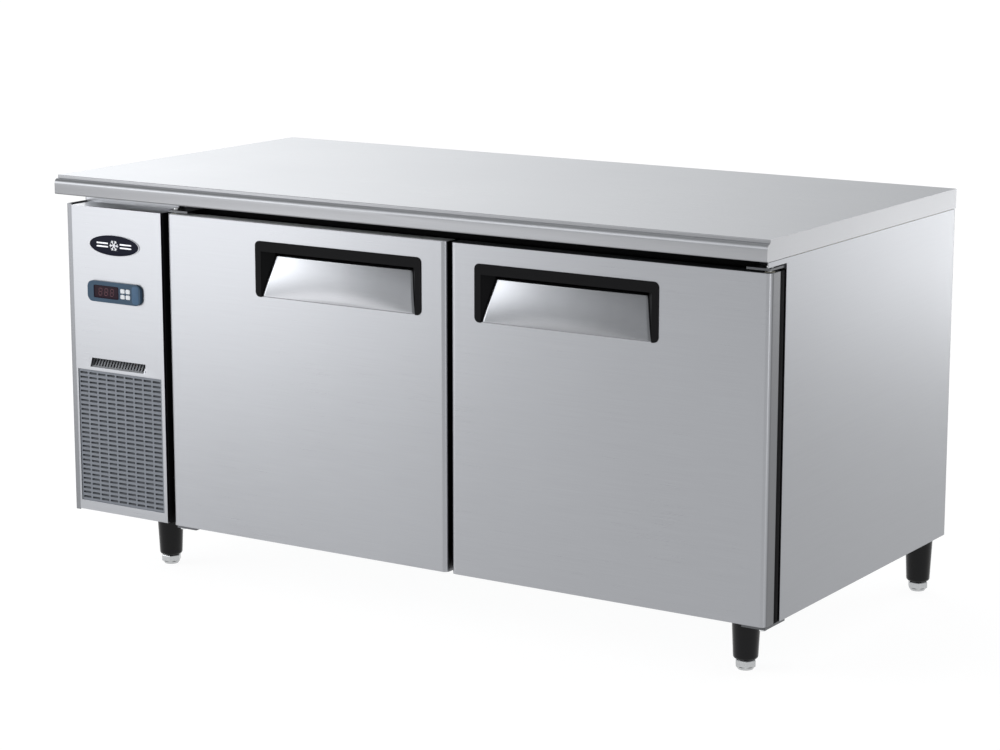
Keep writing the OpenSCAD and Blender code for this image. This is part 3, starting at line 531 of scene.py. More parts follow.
def compartment_front():
    """The grille, its louvres, and the grip pocket above it."""
    lo, hi = span("machine_grille")
    x = (lo[0] + 3, hi[0] - 3)
    z = (lo[2] + 3, hi[2] - 3)
    columns, rows, bar_x, bar_z = 9, 28, 3.6, 5.3
    step_x, step_z = (x[1] - x[0] - bar_x) / columns, (z[1] - z[0] - bar_z) / rows
    loops = [front_of(lo, hi, 1)]
    for i in range(columns):
        for j in range(rows):
            loops.append(oblong(x[0] + bar_x + (i + 0.5) * step_x - bar_x / 2,
                                z[0] + bar_z + (j + 0.5) * step_z - bar_z / 2,
                                step_x - bar_x, step_z - bar_z, 1.6, 3))
    grille = Shape().add(plate(loops, lo[1], hi[1]))
    piece("front_grille", grille, "grille", "cabinet", "machine_grille", 0.45)
    # Turned-in louvre along the lower edge of each row of slots
    louvres = Shape()
    for j in range(rows):
        foot = z[0] + bar_z + j * step_z - 0.6
        blade = [(hi[1] - 0.2, foot), (hi[1] + 0.6, foot), (hi[1] + 6.0, foot + 5.4), (hi[1] + 5.5, foot + 5.9)]
        louvres.add(skin([[(q, a, b) for a, b in blade] for q in (x[0] + 0.5, x[1] - 0.5)]))
    piece("grille_louvres", louvres, "grille_shade", "cabinet", (), 0, crease=30)

    # Dark slotted liner on the sloping floor of the grip pocket, and the pocket's two steel ends
    cover = span("machine_front_panel")[0][1]
    left, right = lo[0] + 35, hi[0] - 43
    low, high, front = z[1] + 7, z[1] + 26, cover + 1.2
    slope = Vector((0, 14, 23)).normalized()
    back = Vector((0, slope.z, -slope.y))
    place = Matrix((Vector((1, 0, 0)), back, slope)).transposed().to_4x4()
    place.translation = Vector((0, front, low - 3)) - back * 0.9
    height = 25.4
    loops = [oblong((left + right - 8.5) / 2, height / 2 + 1.4, right - left - 9, height, 0.8)]
    for i in range(int((right - left - 16) // 7.5) + 1):
        loops.append(oblong(left + 6.75 + i * 7.5, height / 2 + 1.6, 3.3, height - 9, 1.5, 4))
    piece("grip_liner", Shape().add(plate(loops, 0, 0.7), place), "grip_dark", "cabinet", (), 0.2)
    ends = Shape()
    for x0, x1 in ((left - 0.9, left - 0.1), (right + 0.1, right + 0.9)):
        side = [(front + 0.2, low - 1), (front + 14, high + 1), (front + 0.2, high + 1)]
        ends.add(skin([[(x, y, q) for y, q in side] for x in (x0, x1)]))
    filler = [(left - 0.1, low - 1), (left + 0.6, low - 1), (left + 6.5, high + 1), (left - 0.1, high + 1)]
    ends.add(skin([[(x, y, q) for x, q in filler] for y in (cover, cover + 0.8)]))
    piece("grip_ends", ends, "steel_front", "cabinet", (), 0.1)


def badge():
    """A plain oval badge in a thin rim."""
    lo, hi = span("nameplate")
    cx, front, cz = middle(lo, hi)[0], lo[1], middle(lo, hi)[2]
    s = Shape()
    rim = oval(cx, cz, hi[0] - lo[0], hi[2] - lo[2])
    s.add(pillow(rim, (cx, cz), [(1, front + 1.8), (1, front + 0.9), (0.997, front + 0.3), (0.99, front),
                                 (0.982, front), (0.972, front + 0.5), (0.97, front + 1.2)]), index=0)
    s.add(pillow(rim, (cx, cz), [(0.971, front + 1.3), (0.965, front + 0.75), (0.8, front + 0.5),
                                 (0.5, front + 0.25), (0.2, front + 0.15), (0.02, front + 0.12)]), index=1)
    # Plain six-armed crystal between two pairs of bars
    for k in range(3):
        turn = Matrix.Translation((cx, front + 0.1, cz)) @ Matrix.Rotation(math.radians(60 * k + 30), 4, "Y")
        s.add(cuboid((-0.9, -0.1, -11), (0.9, 0.5, 11)), turn, 0)
        for end in (-1, 1):
            for side in (-1, 1):
                twig = turn @ Matrix.Translation((0, 0, 6.2 * end))
                twig = twig @ Matrix.Rotation(math.radians(45 * side), 4, "Y")
                s.add(cuboid((-0.6, -0.1, min(0, 4.6 * end)), (0.6, 0.45, max(0, 4.6 * end))), twig, 0)
    for side in (-1, 1):
        for dz in (-3.4, 3.4):
            at = (cx + side * 30, cz + dz)
            s.add(pillow(oblong(*at, 30, 3.0, 1.4), at, [(1, front + 0.7), (1, front + 0.15), (0.94, front + 0.02)]))
    piece("oval_badge", s, ["badge_light", "badge"], "cabinet", "nameplate", 0, crease=30)


def controller():
    """The controller's surround, window, digits and keys."""
    lo, hi = span("controller_bezel")
    cx, _, cz = middle(lo, hi)
    front = lo[1]
    win_lo, win_hi = span("controller_window")
    wx, _, wz = middle(win_lo, win_hi)
    keys = {n: span(n) for n in ("button_set", "button_defrost", "button_up", "button_down")}
    loops = [front_of(lo, hi, 13, 10), oblong(wx, wz, 65, 26, 3.2)]
    for k_lo, k_hi in keys.values():
        loops.append(oblong(*middle(k_lo, k_hi)[::2], 11.7, 9.7, 2.6))
    s = Shape().add(plate(loops, front, hi[1]))
    piece("control_bezel", s, "controller", "cabinet", "controller_bezel", 1.5, 3)
    # Blue overlay on the right end
    ox = cx + 55.5
    overlay = oblong(ox, cz, 17, hi[2] - lo[2] - 6, 6, 8)
    s = Shape().add(pillow(overlay, (ox, cz), [(1, front + 0.3), (1, front), (0.97, front - 0.12)]))
    piece("control_overlay", s, "overlay", "cabinet", (), 0, crease=50)

    # Smoked window with three faintly lit digits on it
    s = Shape()
    s.add(pillow(oblong(wx, wz, win_hi[0] - win_lo[0] + 1, win_hi[2] - win_lo[2] + 1, 2.8), (wx, wz),
                 [(1, win_hi[1]), (1, win_lo[1] + 0.5), (0.985, win_lo[1] + 0.1), (0.9, win_lo[1])]), index=0)
    segments = [(0, dz, 6.4, 1.1) for dz in (7, 0, -7)]
    segments += [(dx, dz, 1.1, 5.6) for dz in (3.5, -3.5) for dx in (-3.9, 3.9)]
    for x in (wx - 15, wx, wx + 15):
        for dx, dz, w, h in segments:
            # The digits lean a little to the right
            at = (x + dx + dz * 0.12, wz + dz)
            s.add(pillow(oblong(*at, w, h, 0.5, 2), at,
                         [(1, win_lo[1] + 0.1), (1, win_lo[1] - 0.05), (0.9, win_lo[1] - 0.08)]), index=1)
    piece("control_window", s, ["display", "segments"], "cabinet", "controller_window", 0, crease=40)
    for name, (k_lo, k_hi) in keys.items():
        at = middle(k_lo, k_hi)[::2]
        front, back = k_lo[1], k_hi[1]
        s = Shape()
        s.add(pillow(oblong(*at, 11, 9, 2.4, 6), at, [
            (1, back), (1, front + 0.9), (0.97, front + 0.4), (0.88, front + 0.1), (0.6, front), (0.3, front + 0.1),
            (0.05, front + 0.15)]))
        s.add(pillow(front_of(k_lo, k_hi, 2.6, 6), at, [(1, back), (1, back - 1), (0.97, back - 1)]))
        piece(name + "_cap", s, "key", name, name, 0, crease=60)


# ------------------------------------------------------------------ doors


def door_parts(side):
    """The grip's scoop and the seal of one door."""
    body = side + "_door"
    # Pressed scoop: smooth, gently bulged, and run out into the door's face
    lo, hi = span(side + "_handle_scoop")
    left, front, _ = span(side + "_door_skin")[0]
    cx = middle(*span(side + "_handle_rim"))[0]
    half = (hi[0] - lo[0]) / 2 + 0.3
    across, up = 48, 24
    depth, rise = hi[1] - lo[1] - 1.1, hi[2] - lo[2]
    taper, bulge = 18, 9.5
    grid = []
    for j in range(up + 1):
        t = j / up
        run = t - 0.10 * math.sin(math.pi * t) * (1 - t)
        width = half - taper * t
        row = []
        for i in range(across + 1):
            u = 2 * i / across - 1
            out = bulge * t ** 0.8 * (1 - u * u)
            row.append((cx + u * width, front - 0.04 + depth * run - out, lo[2] + rise * t))
        grid.append(row)
    # A narrow lip lies on the skin below the opening and covers the seam
    grid.insert(0, [(x, front - 0.06, lo[2] - 1.5) for x, _, _ in grid[0]])
    verts = [v for row in grid for v in row]
    n = across + 1
    faces = [[j * n + i, j * n + i + 1, (j + 1) * n + i + 1, (j + 1) * n + i]
             for j in range(up + 1) for i in range(across)]
    s = Shape().add((verts, faces))
    obj = piece(side + "_scoop", s, side + "_scoop", body, side + "_handle_scoop", 0, crease=60)
    sheet = obj.modifiers.new("sheet", "SOLIDIFY")
    sheet.thickness = 0.9 * MM
    sheet.offset = -1.0

    # Magnetic seal: a flat foot, a folded bellows and a wide sealing lip
    lo, hi = span(side + "_door_gasket")
    base, face = lo[1], hi[1]
    section = [(0.5, base), (17.5, base), (17.5, base + 2.5), (13.5, base + 3), (15.5, base + 5.5), (13, base + 7.6),
               (15.8, base + 9.6), (17.6, base + 10.4), (18, face - 1.5), (17, face - 0.4), (15.5, face),
               (2.5, face), (1, face - 0.4), (0, face - 1.5), (0.4, base + 10.4), (2.2, base + 9.6),
               (5, base + 7.6), (2.5, base + 5.5), (4.5, base + 3), (0.5, base + 2.5)]
    s = Shape().add(around(lo[0], hi[0], lo[2], hi[2], section))
    reach = lo[0] - left
    # Its edge also wraps round the door's back edge
    wrap = [(-reach - 0.35, base - 7), (-reach + 0.05, base - 7), (-reach + 0.05, base + 0.05), (0.6, base + 0.05),
            (0.4, base + 10.4), (0, face - 1.5), (-2.5, face - 2.4), (-reach + 2.5, face - 2.4),
            (-reach - 0.35, base + 4)]
    s.add(around(lo[0], hi[0], lo[2], hi[2], wrap))
    piece(side + "_seal", s, "rubber", body, side + "_door_gasket", 0.35, 2, 25)


def door_cap(side, material):
    """Folded sheet that closes the top of a door."""
    lo, hi = span(side + "_door_skin")
    r = 10.0
    outline = [(hi[0], hi[1] - 7.5), (lo[0], hi[1] - 7.5)]
    for x, start in ((lo[0] + r, 180), (hi[0] - r, 270)):
        for i in range(9):
            a = math.radians(start + 90 * i / 8)
            outline.append((x + r * math.cos(a), lo[1] + r + r * math.sin(a)))
    cx, cy, _ = middle(lo, hi)
    rings = []
    for inset, z in ((1.2, hi[2] - 0.6), (0.9, hi[2] + 0.1), (1.2, hi[2] + 0.4)):
        fx, fy = 1 - inset / (hi[0] - cx), 1 - inset / (hi[1] - cy)
        rings.append([(cx + (x - cx) * fx, cy + (y - cy) * fy, z) for x, y in outline])
    piece(side + "_door_cap", Shape().add(skin(rings)), material, side + "_door", (), 0, crease=50)


# ------------------------------------------------------------------ legs and hinges


def leg_flange(size, r, z0, z1):
    """The square plate at the top of a leg."""
    outline = oblong(0, 0, size, size, r, 6)
    levels = ((1, z1), (1, z0 + 1.0), (0.985, z0 + 0.3), (0.96, z0))
    return skin([[(x * s, y * s, z) for x, y in outline] for s, z in levels])


def legs():
    """Four plastic sleeves with their bolts, and a threaded foot in each."""
    base, top = (corner[2] for corner in span("leg_sleeves"))
    sleeves, bolts = Shape(), Shape()
    for name in ("foot_front_left", "foot_front_right", "foot_rear_left", "foot_rear_right"):
        lo, hi = span(name)
        cx, cy, _ = middle(lo, hi)
        place = Matrix.Translation((cx, cy, 0))
        profile = [(8.1, base + 12), (8.1, base + 0.4), (8.6, base), (17.0, base), (19.4, base + 0.5),
                   (21.4, base + 1.8), (22.6, base + 3.6), (23.0, base + 6), (26.4, top - 12), (26.8, top - 7.4),
                   (27.6, top - 5.4), (28.4, top - 4.3), (28.4, top - 0.1), (8.1, top - 0.1)]
        sleeves.add(lathe(profile, 48, True), place)
        sleeves.add(leg_flange(58, 8, top - 4.2, top), place)
        for sx in (-1, 1):
            for sy in (-1, 1):
                bolts.add(hex_bolt(4.0), aim((cx + sx * 22.5, cy + sy * 22.5, top - 4.1), (0, 0, -1)))
        foot = Shape()
        z = lo[2]
        foot.add(lathe([(13.2, z), (14.2, z + 0.3), (16.6, z + 4.2), (17, z + 5.2), (12, z + 5.4)], 40), place)
        hexagon = [(17.2, z + 4.8), (19.0, z + 5.6), (20.45, z + 7.2), (20.45, z + 17.2), (19.2, z + 18.8),
                   (14, z + 19.6)]
        foot.add(lathe(hexagon, 6), place)
        # Rolled thread
        root, crest, pitch = 6.9, 7.9, 2.0
        thread = [(root, z + 19)]
        height = z + 19.8
        while height < hi[2] - 3:
            thread += [(root, height), (crest, height + 0.8), (crest, height + 1.0), (root, height + 1.8)]
            height += pitch
        thread += [(root, hi[2] - 2), (5.8, hi[2])]
        foot.add(lathe(thread, 24), place)
        piece(name + "_pad", foot, "foot_steel", name, name, 0.5, 2, 30)
    piece("leg_cones", sleeves, "leg_plastic", "cabinet", "leg_sleeves", 0, crease=32)
    piece("leg_bolts", bolts, "zinc", "cabinet", (), 0, crease=30)


def hinge_bolts():
    """Two bolts in each bottom hinge bracket."""
    lo, hi = span("hinge_brackets")
    s = Shape()
    for x in (lo[0] + 24, lo[0] + 36, hi[0] - 36, hi[0] - 24):
        s.add(hex_bolt(4.2), aim((x, lo[1] + 66, lo[2] + 0.05), (0, 0, -1)))
    piece("bracket_bolts", s, "zinc", "cabinet", (), 0, crease=30)


compartment_front()
badge()
controller()
# The left door's top takes the painted-light cap, and the right door's top takes the painted-shade cap
for side, material in (("left", "cap_pale"), ("right", "cap_dark")):
    door_parts(side)
    door_cap(side, material)
legs()
hinge_bolts()


# ------------------------------------------------------------------ refrigeration


def finned_coil(name, x0, x1, fins, pitch, levels):
    """Slightly bent fins between end plates at x0 and x1, with copper hairpins through them."""
    s = Shape()
    lo, hi = span(name)
    plates = ((x0 - 2, x0), (x1, x1 + 2))
    x0, x1 = x0 + 0.4, x1 - 0.4
    (y0, y1), (z0, z1) = fins
    count = int((x1 - x0) // pitch)
    for i in range(count):
        x = x0 + (i + 0.5) * (x1 - x0) / count
        sway = 0.25 * random.uniform(-1, 1)
        bent = [(x + sway, y0), (x + 0.28 + sway, y0), (x + 0.28, (y0 + y1) / 2), (x + 0.28, y1), (x, y1),
                (x, (y0 + y1) / 2)]
        s.add(skin([[(a, b, z) for a, b in bent] for z in (z0, (z0 + z1) / 2, z1)]), index=0)
    for a, b in plates:
        s.add(cuboid((a, lo[1], lo[2]), (b, hi[1], hi[2])), index=1)
    radius, reach, centre = 3.8, 9, (y0 + y1) / 2
    for z in levels:
        for side, end in ((-1, x0), (1, x1)):
            arc = [(end + side * (1.9 + reach * math.cos(a)), centre + reach * math.sin(a), z)
                   for a in (math.pi * (k / 12 - 0.5) for k in range(13))]
            path = [(end - side * 6, centre - reach, z), *arc, (end - side * 6, centre + reach, z)]
            s.add(tube(path, radius, 12), index=2)
        for dy in (-reach, reach):
            s.add(tube([(x0 - 1, centre + dy, z), (x1 + 1, centre + dy, z)], radius, 10), index=2)
    piece(name + "_fins", s, ["fins", "zinc", "copper"], "cabinet", name, 0, crease=40)


def fan_wheel(name, radius, depth, blade_material):
    """Five cambered blades on a domed hub, with its shaft, on the axis of the fan's joint."""
    lo, hi = span(name)
    joint = next(j for j in frame["record"]["behaviour"]["joints"] if j["name"] == name + "_spin")
    x, _, z = (1000 * v for v in joint["pos_m"])
    place = aim((x, lo[1], z), (0, 1, 0))
    hub = radius * 0.28
    shaft = hi[1] - lo[1]
    s = Shape()
    s.add(lathe([(0.01, 0.4), (hub * 0.35, 0.4), (hub * 0.4, 1.2), (hub * 0.72, 1.4), (hub * 0.92, 2.2), (hub, 4.2),
                 (hub, depth - 0.6), (hub - 0.6, depth), (0.01, depth)], 48), place, 0)
    s.add(lathe([(0.01, depth - 1), (3.0, depth - 1), (3.0, shaft - 1), (2.2, shaft), (0.01, shaft)], 20), place, 1)
    steps, chords, blades, thick = 12, 10, 5, 1.2
    for blade in range(blades):
        grid = []
        for i in range(steps + 1):
            t = i / steps
            rho = hub - 1.5 + (radius - 0.6 - hub + 1.5) * t
            pitch = math.radians(36 - 12 * t)
            half = radius * (0.20 + 0.13 * t) * (1 - 0.22 * max(0, t - 0.75) / 0.25)
            sweep = 0.22 * t * t
            row = []
            for j in range(chords + 1):
                u = 2 * j / chords - 1
                camber = 0.09 * half * (1 - u * u)
                turn = half * u * math.cos(pitch) / rho + sweep
                height = min(max(depth / 2 + half * u * math.sin(pitch) + camber, 0.6), depth - 1.2)
                reach = rho - (2.5 * abs(u) ** 4 if t > 0.9 else 0)
                row.append((reach, blade * 2 * math.pi / blades + turn, height))
            grid.append(row)
        rings = []
        for row in grid:
            under = [(r * math.cos(a), r * math.sin(a), h) for r, a, h in row]
            over = [(r * math.cos(a), r * math.sin(a), h + thick) for r, a, h in reversed(row)]
            rings.append(under + over)
        s.add(skin(rings), place, 0)
    piece(name + "_wheel", s, [blade_material, "steel_bright"], name, name, 0, crease=45)


def coils_and_fans():
    """Both coils, and the fan of each."""
    lo, hi = span("condenser_coil")
    top = hi[2] - 4
    shroud_lo, shroud_hi = span("condenser_shroud")
    levels = [lo[2] + 42.3 + 22 * k for k in range(11)]
    finned_coil("condenser_coil", shroud_lo[0] + 2, shroud_hi[0] - 2,
                ((lo[1] + 0.3, hi[1] - 0.3), (lo[2] + 20.3, top)), 2.6, [z for z in levels if z < top - 10])
    lo, hi = span("evaporator_coil")
    finned_coil("evaporator_coil", lo[0] + 2, hi[0] - 2, ((lo[1] + 6.3, hi[1] - 8.3), (lo[2] + 4.3, hi[2] - 4.3)),
                4.0, [lo[2] + 20 + 24 * k for k in range(7)])
    fan_wheel("condenser_fan", 80, 26, "alloy_blade")
    fan_wheel("evaporator_fan", 74, 24, "enamel")


def shell_centre():
    """Middle of the compressor's shell in X and Y, and the height of its foot."""
    lo, hi = span("compressor")
    return (lo[0] + hi[0]) / 2, hi[1] - 84, lo[2] + 4


def compressor():
    """A welded shell on a base plate, with its terminal box and two stubs."""
    cx, cy, z = shell_centre()
    place = Matrix.Translation((cx, cy, z))
    s = Shape()
    wall = 83.2
    dome = [(70 + 14 * math.sin(a), 14 - 14 * math.cos(a)) for a in (math.radians(15 * k) for k in range(7))]
    body = [(0.01, 0)] + dome + [(wall, 20), (wall, 66), (84.0, 66.4), (84.0, 74), (wall, 74.4), (wall, 116)]
    body += [(wall * math.cos(a), 118 + 84 * math.sin(a)) for a in (math.radians(7.5 * k) for k in range(1, 12))]
    s.add(lathe(body + [(0.01, 201.9)], 72), place, 0)
    # Base plate with the mounting holes, drawn flat and laid down
    loops = [oblong(0, 0, 190, 150, 14, 6)]
    for sx in (-1, 1):
        for sy in (-1, 1):
            loops.append(oval(sx * 80, sy * 60, 16.2, 16.2, 24))
    lay = place @ Matrix(((1, 0, 0, 0), (0, 0, 1, 0), (0, 1, 0, 0), (0, 0, 0, 1)))
    s.add(plate(loops, -4, 0), lay, 0)
    # Terminal box with its lid and a screw
    box = place @ Matrix.Translation((0, -90, 75))
    outline = oblong(0, 0, 56, 70, 6, 6)
    s.add(pillow(outline, (0, 0), [(1, 9), (1, -7.4), (0.985, -7.8), (1.0, -8), (1.0, -9.4), (0.97, -10.6),
                                   (0.86, -11)]), box, 1)
    s.add(hex_bolt(3.6), box @ aim((0, -10.4, 22), (0, -1, 0)) @ Matrix.Scale(0.16, 4), 2)
    for sx in (-1, 1):
        s.add(tube([(cx + sx * 40, cy, z + 170), (cx + sx * 40, cy, z + 194)], 6.0, 20), None, 3)
    piece("compressor_shell", s, ["enamel", "black_plastic", "zinc", "copper"], "cabinet",
          "compressor", 0, crease=32)


def copper_lines():
    """Hot gas to the coil, liquid through the filter drier, and suction back from the chamber."""
    r = 4.0
    lo, hi = span("refrigerant_lines")
    cx, cy, _ = shell_centre()
    shell_top = span("compressor")[1][2] - 7.7
    inside = span("machine_base")[1][0]
    coil_lo, coil_hi = span("condenser_coil")
    coil_y, side_x, low, high = (coil_lo[1] + coil_hi[1]) / 2, inside - 6, lo[2] + r, hi[2] - r
    dx, dy = inside - 26, cy + 130
    wall = span("rear_panel")[0][1] - 24
    cover = span("evaporator_cover")[0]
    back = span("evaporator_coil")[1][1] - 7.6
    liquid, suction = (cover[0] + 70, cover[2] + 188), (cover[0] + 110, cover[2] + 153)
    runs = [
        [(cx - 40, cy, shell_top), (cx - 40, cy, high), (cx - 40, coil_y, high), (cx - 40, coil_y, coil_hi[2] - 3.7)],
        [(inside - 13.8, coil_y, low), (side_x, coil_y, low), (side_x, dy, low), (dx, dy, low), (dx, dy, 287)],
        [(dx, dy, 403), (dx, dy, liquid[1]), (dx, wall, liquid[1]), (liquid[0], wall, liquid[1]),
         (liquid[0], back, liquid[1])],
        [(cx + 40, cy, shell_top), (cx + 40, cy, suction[1]), (cx + 40, wall, suction[1]),
         (suction[0], wall, suction[1]), (suction[0], back, suction[1])],
    ]
    s = Shape()
    for run in runs:
        s.add(tube(bend(run, 16, 6), r, 14), index=0)
    drier = [(3.9, 283), (4.6, 286), (5.2, 288), (13.6, 298.6), (15, 301), (15, 389), (13.6, 391.4), (5.2, 402),
             (4.6, 404), (3.9, 407)]
    s.add(lathe(drier, 40), Matrix.Translation((dx, dy, 0)), 0)
    for at in (306, 384):
        s.add(ring(15.0, 0.5, 40, 6), Matrix.Translation((dx, dy, at)), 0)
    piece("copper_lines", s, ["copper"], "cabinet", "refrigerant_lines", 0, crease=40)


# ------------------------------------------------------------------ inside the chamber


def evaporator_cover():
    """Folded cover over the coil, with air slots, a drawn lip round the fan and a wire guard."""
    lo, hi = span("evaporator_cover")
    front = lo[1] + 2.4
    cx, _, cz = middle(*span("evaporator_motor"))
    x0, x1, z0, z1 = lo[0], hi[0], lo[2], hi[2]
    loops = [front_of(lo, hi, 5), oval(cx, cz, 164, 164, 72)]
    for i in range(6):
        for sx in (-1, 1):
            loops.append(oblong(cx + sx * 90, z0 + 30 + i * 18, 140, 8, 3.9, 5))
    s = Shape().add(plate(loops, front, front + 1.5), index=0)
    for a, b in ((x0, x0 + 1.5), (x1 - 1.5, x1)):
        s.add(cuboid((a, front + 0.7, z0 + 4), (b, hi[1], z1 - 4)), index=0)
    for a, b in ((z0, z0 + 1.5), (z1 - 1.5, z1)):
        s.add(cuboid((x0 + 4, front + 0.7, a), (x1 - 4, hi[1], b)), index=0)
    # Corner folds
    for x, sx in ((x0, 1), (x1, -1)):
        for z, sz in ((z0, 1), (z1, -1)):
            fold = [(x + sx * (5 - 5 * math.cos(a)), z + sz * (5 - 5 * math.sin(a)))
                    for a in (math.radians(15 * k) for k in range(7))]
            inner = [(x + sx * (5 - 3.5 * math.cos(a)), z + sz * (5 - 3.5 * math.sin(a)))
                     for a in (math.radians(90 - 15 * k) for k in range(7))]
            s.add(skin([[(p, y, q) for p, q in fold + inner] for y in (front + 0.7, hi[1])]), index=0)
    # Lip drawn in round the fan
    lip = [(82, 0.2), (83.4, 0), (84.4, 0.1), (84.2, 1.2), (83.0, 4.6), (81.8, 5.2), (80.8, 5.0), (81.2, 2.2)]
    s.add(lathe(lip, 72, True), aim((cx, front, cz), (0, 1, 0)), 0)
    piece("cooler_cover", s, ["liner"], "cabinet", "evaporator_cover", 0.3, 2, 35)
    g = Shape()
    y, wire, reach = front - 1.2, 1.15, 86.5
    for i in range(6):
        g.add(ring(15 + 14 * i, wire, 64, 8), aim((cx, y, cz), (0, 1, 0)))
    for k in range(3):
        a = math.radians(60 * k + 20)
        dx, dz = math.cos(a) * reach, math.sin(a) * reach
        g.add(tube([(cx - dx, y, cz - dz), (cx + dx, y, cz + dz)], wire, 10))
    g.add(lathe([(0.01, 0), (9, 0), (9.6, 0.5), (9.6, 1.4), (9, 1.9), (0.01, 1.9)], 32),
          aim((cx, front - 2.2, cz), (0, 1, 0)))
    piece("fan_guard", g, "enamel", "cabinet", (), 0, crease=45)


def shelf(name):
    """Wires from front to back on three thicker bars."""
    (x0, y0, _), (x1, y1, top) = span(name)
    z, pitch = top - 2, 13
    s = Shape()
    for y in (y0 + 4, (y0 + y1) / 2, y1 - 4):
        s.add(tube([(x0, y, z - 5.2), (x1, y, z - 5.2)], 3.5, 14))
    gaps = 2 * int((x1 - x0 - 12) // (2 * pitch))
    first = (x0 + x1 - gaps * pitch) / 2
    for i in range(gaps + 1):
        x = first + i * pitch
        s.add(tube([(x, y0, z), (x, y1, z)], 2, 10))
    piece(name + "_wires", s, "wire", "cabinet", name, 0, crease=50)


# ------------------------------------------------------------------ back


def rear_panel():
    """Back sheet with air slots, the hole for the supply lead's bushing, and its screws."""
    lo, hi = span("rear_panel")
    x0, x1, z0, z1 = lo[0], hi[0], lo[2], hi[2]
    loops = [front_of(lo, hi, 0.6, 2), oval(x0 + 60, z0 + 40, 22.1, 22.1, 32)]
    slots = [z0 + 70 + 22 * i for i in range(9)]
    for z in slots:
        loops.append(oblong(x0 + 120, z + 3, 160, 6, 2.9, 6))
    screws = [(x, z) for x in (x0 + 18, x0 + 260, (x0 + x1) / 2, x1 - 260, x1 - 18) for z in (z0 + 14, z1 - 14)]
    screws += [(x, z) for x in (x0 + 18, x1 - 18) for z in (z0 + 217, z0 + 433)]
    for x, z in screws:
        loops.append(oval(x, z, 8.4, 8.4, 20))
    s = Shape().add(plate(loops, lo[1], hi[1]), index=0)
    for z in slots:
        # Blade pressed inwards below each slot
        blade = [(lo[1] + 0.1, z), (lo[1] + 0.1, z + 1), (lo[1] - 7, z + 8), (lo[1] - 7.7, z + 7.3)]
        s.add(skin([[(x, y, zz) for y, zz in blade] for x in (x0 + 42, x0 + 198)]), index=0)
    for x, z in screws:
        head = [(0.01, 0.25), (1.2, 0.2), (3.2, 0.05), (4.1, -0.15), (4.15, -0.5), (2.2, -2.4), (0.01, -2.4)]
        s.add(lathe(head, 24), aim((x, hi[1] - 0.3, z), (0, 1, 0)), 1)
        for angle in (45, 135):
            cross = aim((x, hi[1] - 0.16, z), (0, 1, 0)) @ Matrix.Rotation(math.radians(angle), 4, "Z")
            s.add(cuboid((-2.3, -0.35, 0), (2.3, 0.35, 0.12)), cross, 2)
    piece("back_sheet", s, ["zinc", "steel_bright", "black_plastic"], "cabinet", "rear_panel", 0,
          crease=35)


random.seed(7)
coils_and_fans()
compressor()
copper_lines()
evaporator_cover()
shelf("shelf_left")
shelf("shelf_right")
rear_panel()

# ------------------------------------------------------------------ stage, lights and camera


def stage_floor():
    """A plain pale floor, 120 m square."""
    mesh = bpy.data.meshes.new("floor")
    half = 60.0
    mesh.from_pydata([(-half, -half, 0), (half, -half, 0), (half, half, 0), (-half, half, 0)], [], [(0, 1, 2, 3)])
    floor = bpy.data.objects.new("floor", mesh)
    scene.collection.objects.link(floor)
    surface("floor_paint", (0.16, 0.16, 0.16), 0.9, 0.0, [grain(0.7, colour=0.01)],
            {SPECULAR: 0.0, "Emission Color": (1, 1, 1, 1), "Emission Strength": 0.9})
    mesh.materials.append(MATERIALS["floor_paint"])


def studio(base, boxes):
    """A pale studio all round, with large soft boxes: (azimuth, elevation, sharpness, strength)."""
    world = bpy.data.worlds.new("studio")
    scene.world = world
    world.use_nodes = True
    tree = world.node_tree
    background = tree.nodes["Background"]
    background.inputs["Color"].default_value = (0.97, 0.985, 1.0, 1)
    direction = tree.nodes.new("ShaderNodeTexCoord").outputs["Generated"]
    total = base
    for azimuth, elevation, sharpness, strength in boxes:
        a, e = math.radians(azimuth), math.radians(elevation)
        dot = tree.nodes.new("ShaderNodeVectorMath")
        dot.operation = "DOT_PRODUCT"
        tree.links.new(direction, dot.inputs[0])
        dot.inputs[1].default_value = (math.sin(a) * math.cos(e), math.cos(a) * math.cos(e), math.sin(e))
        near = maths(tree, "SUBTRACT", dot.outputs["Value"], 1.0)
        lobe = maths(tree, "EXPONENT", maths(tree, "MULTIPLY", near, sharpness))
        total = maths(tree, "ADD", maths(tree, "MULTIPLY", lobe, strength), total)
    tree.links.new(total, background.inputs["Strength"])


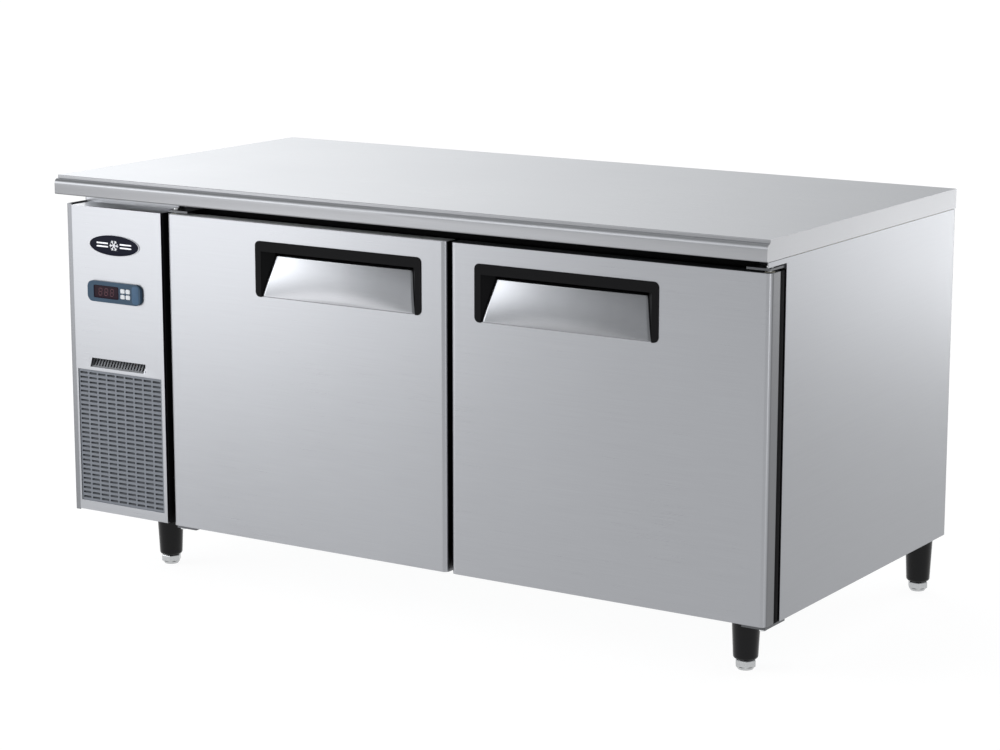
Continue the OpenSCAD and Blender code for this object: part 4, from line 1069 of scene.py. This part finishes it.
def soft_box(pivot, azimuth, height, size, strength):
    """A soft box beside the pivot, turned towards it. Azimuth is measured from +Y towards +X."""
    a = math.radians(azimuth)
    light = bpy.data.lights.new("soft_box", "AREA")
    light.shape = "RECTANGLE"
    light.size, light.size_y = size
    light.energy = strength * size[0] * size[1] * math.pi
    lamp = bpy.data.objects.new("soft_box", light)
    lamp.location = (pivot[0] + BOX_DISTANCE * math.sin(a), pivot[1] + BOX_DISTANCE * math.cos(a), height)
    lamp.rotation_mode = "QUATERNION"
    lamp.rotation_quaternion = Vector((-math.sin(a), -math.cos(a), 0)).to_track_quat("-Z", "Y")
    lamp.visible_camera = False
    scene.collection.objects.link(lamp)


# Soft boxes: how far they stand from their pivot, and their heights, in metres
BOX_DISTANCE = 3.2
LOW, MIDDLE, HIGH = 0.36, 1.06, 1.9
# (azimuth, height, strength)
FRONT_LEFT = [(212, LOW, 1.1), (222, LOW, 2.3), (222, MIDDLE, 0.7), (222, HIGH, 0.4), (232, LOW, 1.76),
              (232, MIDDLE, 0.75), (232, HIGH, 1.0), (242, MIDDLE, 1.3), (242, HIGH, 1.0), (256, MIDDLE, 0.6),
              (256, HIGH, 0.75)]
BACK_RIGHT = [(2, LOW, 0.55), (14, LOW, 2.55), (14, HIGH, 0.13), (26, LOW, 1.46)]
DOOR_PLANE, SIDE_PLANE = -0.375, 0.8

stage_floor()
studio(0.6, [(-50, 5, 30, 0.62), (-50, 22, 30, 2.25), (-30, 22, 30, 0.5), (-30, 45, 30, 0.37),
             (235, 20, 30, 6.3), (20, 25, 30, 1.6)])
for azimuth, height, strength in FRONT_LEFT:
    size = (0.56 if azimuth < 250 else 0.9, 0.98 if height == HIGH else 0.7)
    soft_box((0, DOOR_PLANE), azimuth, height, size, strength)
for azimuth, height, strength in BACK_RIGHT:
    soft_box((SIDE_PLANE, 0), azimuth, height, (0.66, 0.98 if height == HIGH else 0.7), strength)
soft_box((SIDE_PLANE, DOOR_PLANE), 122, LOW, (0.45, 0.7), 5.0)
soft_box((-0.5, DOOR_PLANE), 275, LOW, (1.2, 0.7), 2.5)

# Lens, place and direction are fitted to the cabinet's corners in the photograph
camera_data = bpy.data.cameras.new("camera")
camera_data.lens = 99.24
camera_data.sensor_width = 36.0
camera_data.clip_end = 200.0
camera = bpy.data.objects.new("camera", camera_data)
camera.location = (2.9198, -4.5234, 1.5079)
camera.rotation_mode = "QUATERNION"
camera.rotation_quaternion = Vector((-0.53058, 0.82386, -0.19938)).to_track_quat("-Z", "Y")
scene.collection.objects.link(camera)
scene.camera = camera
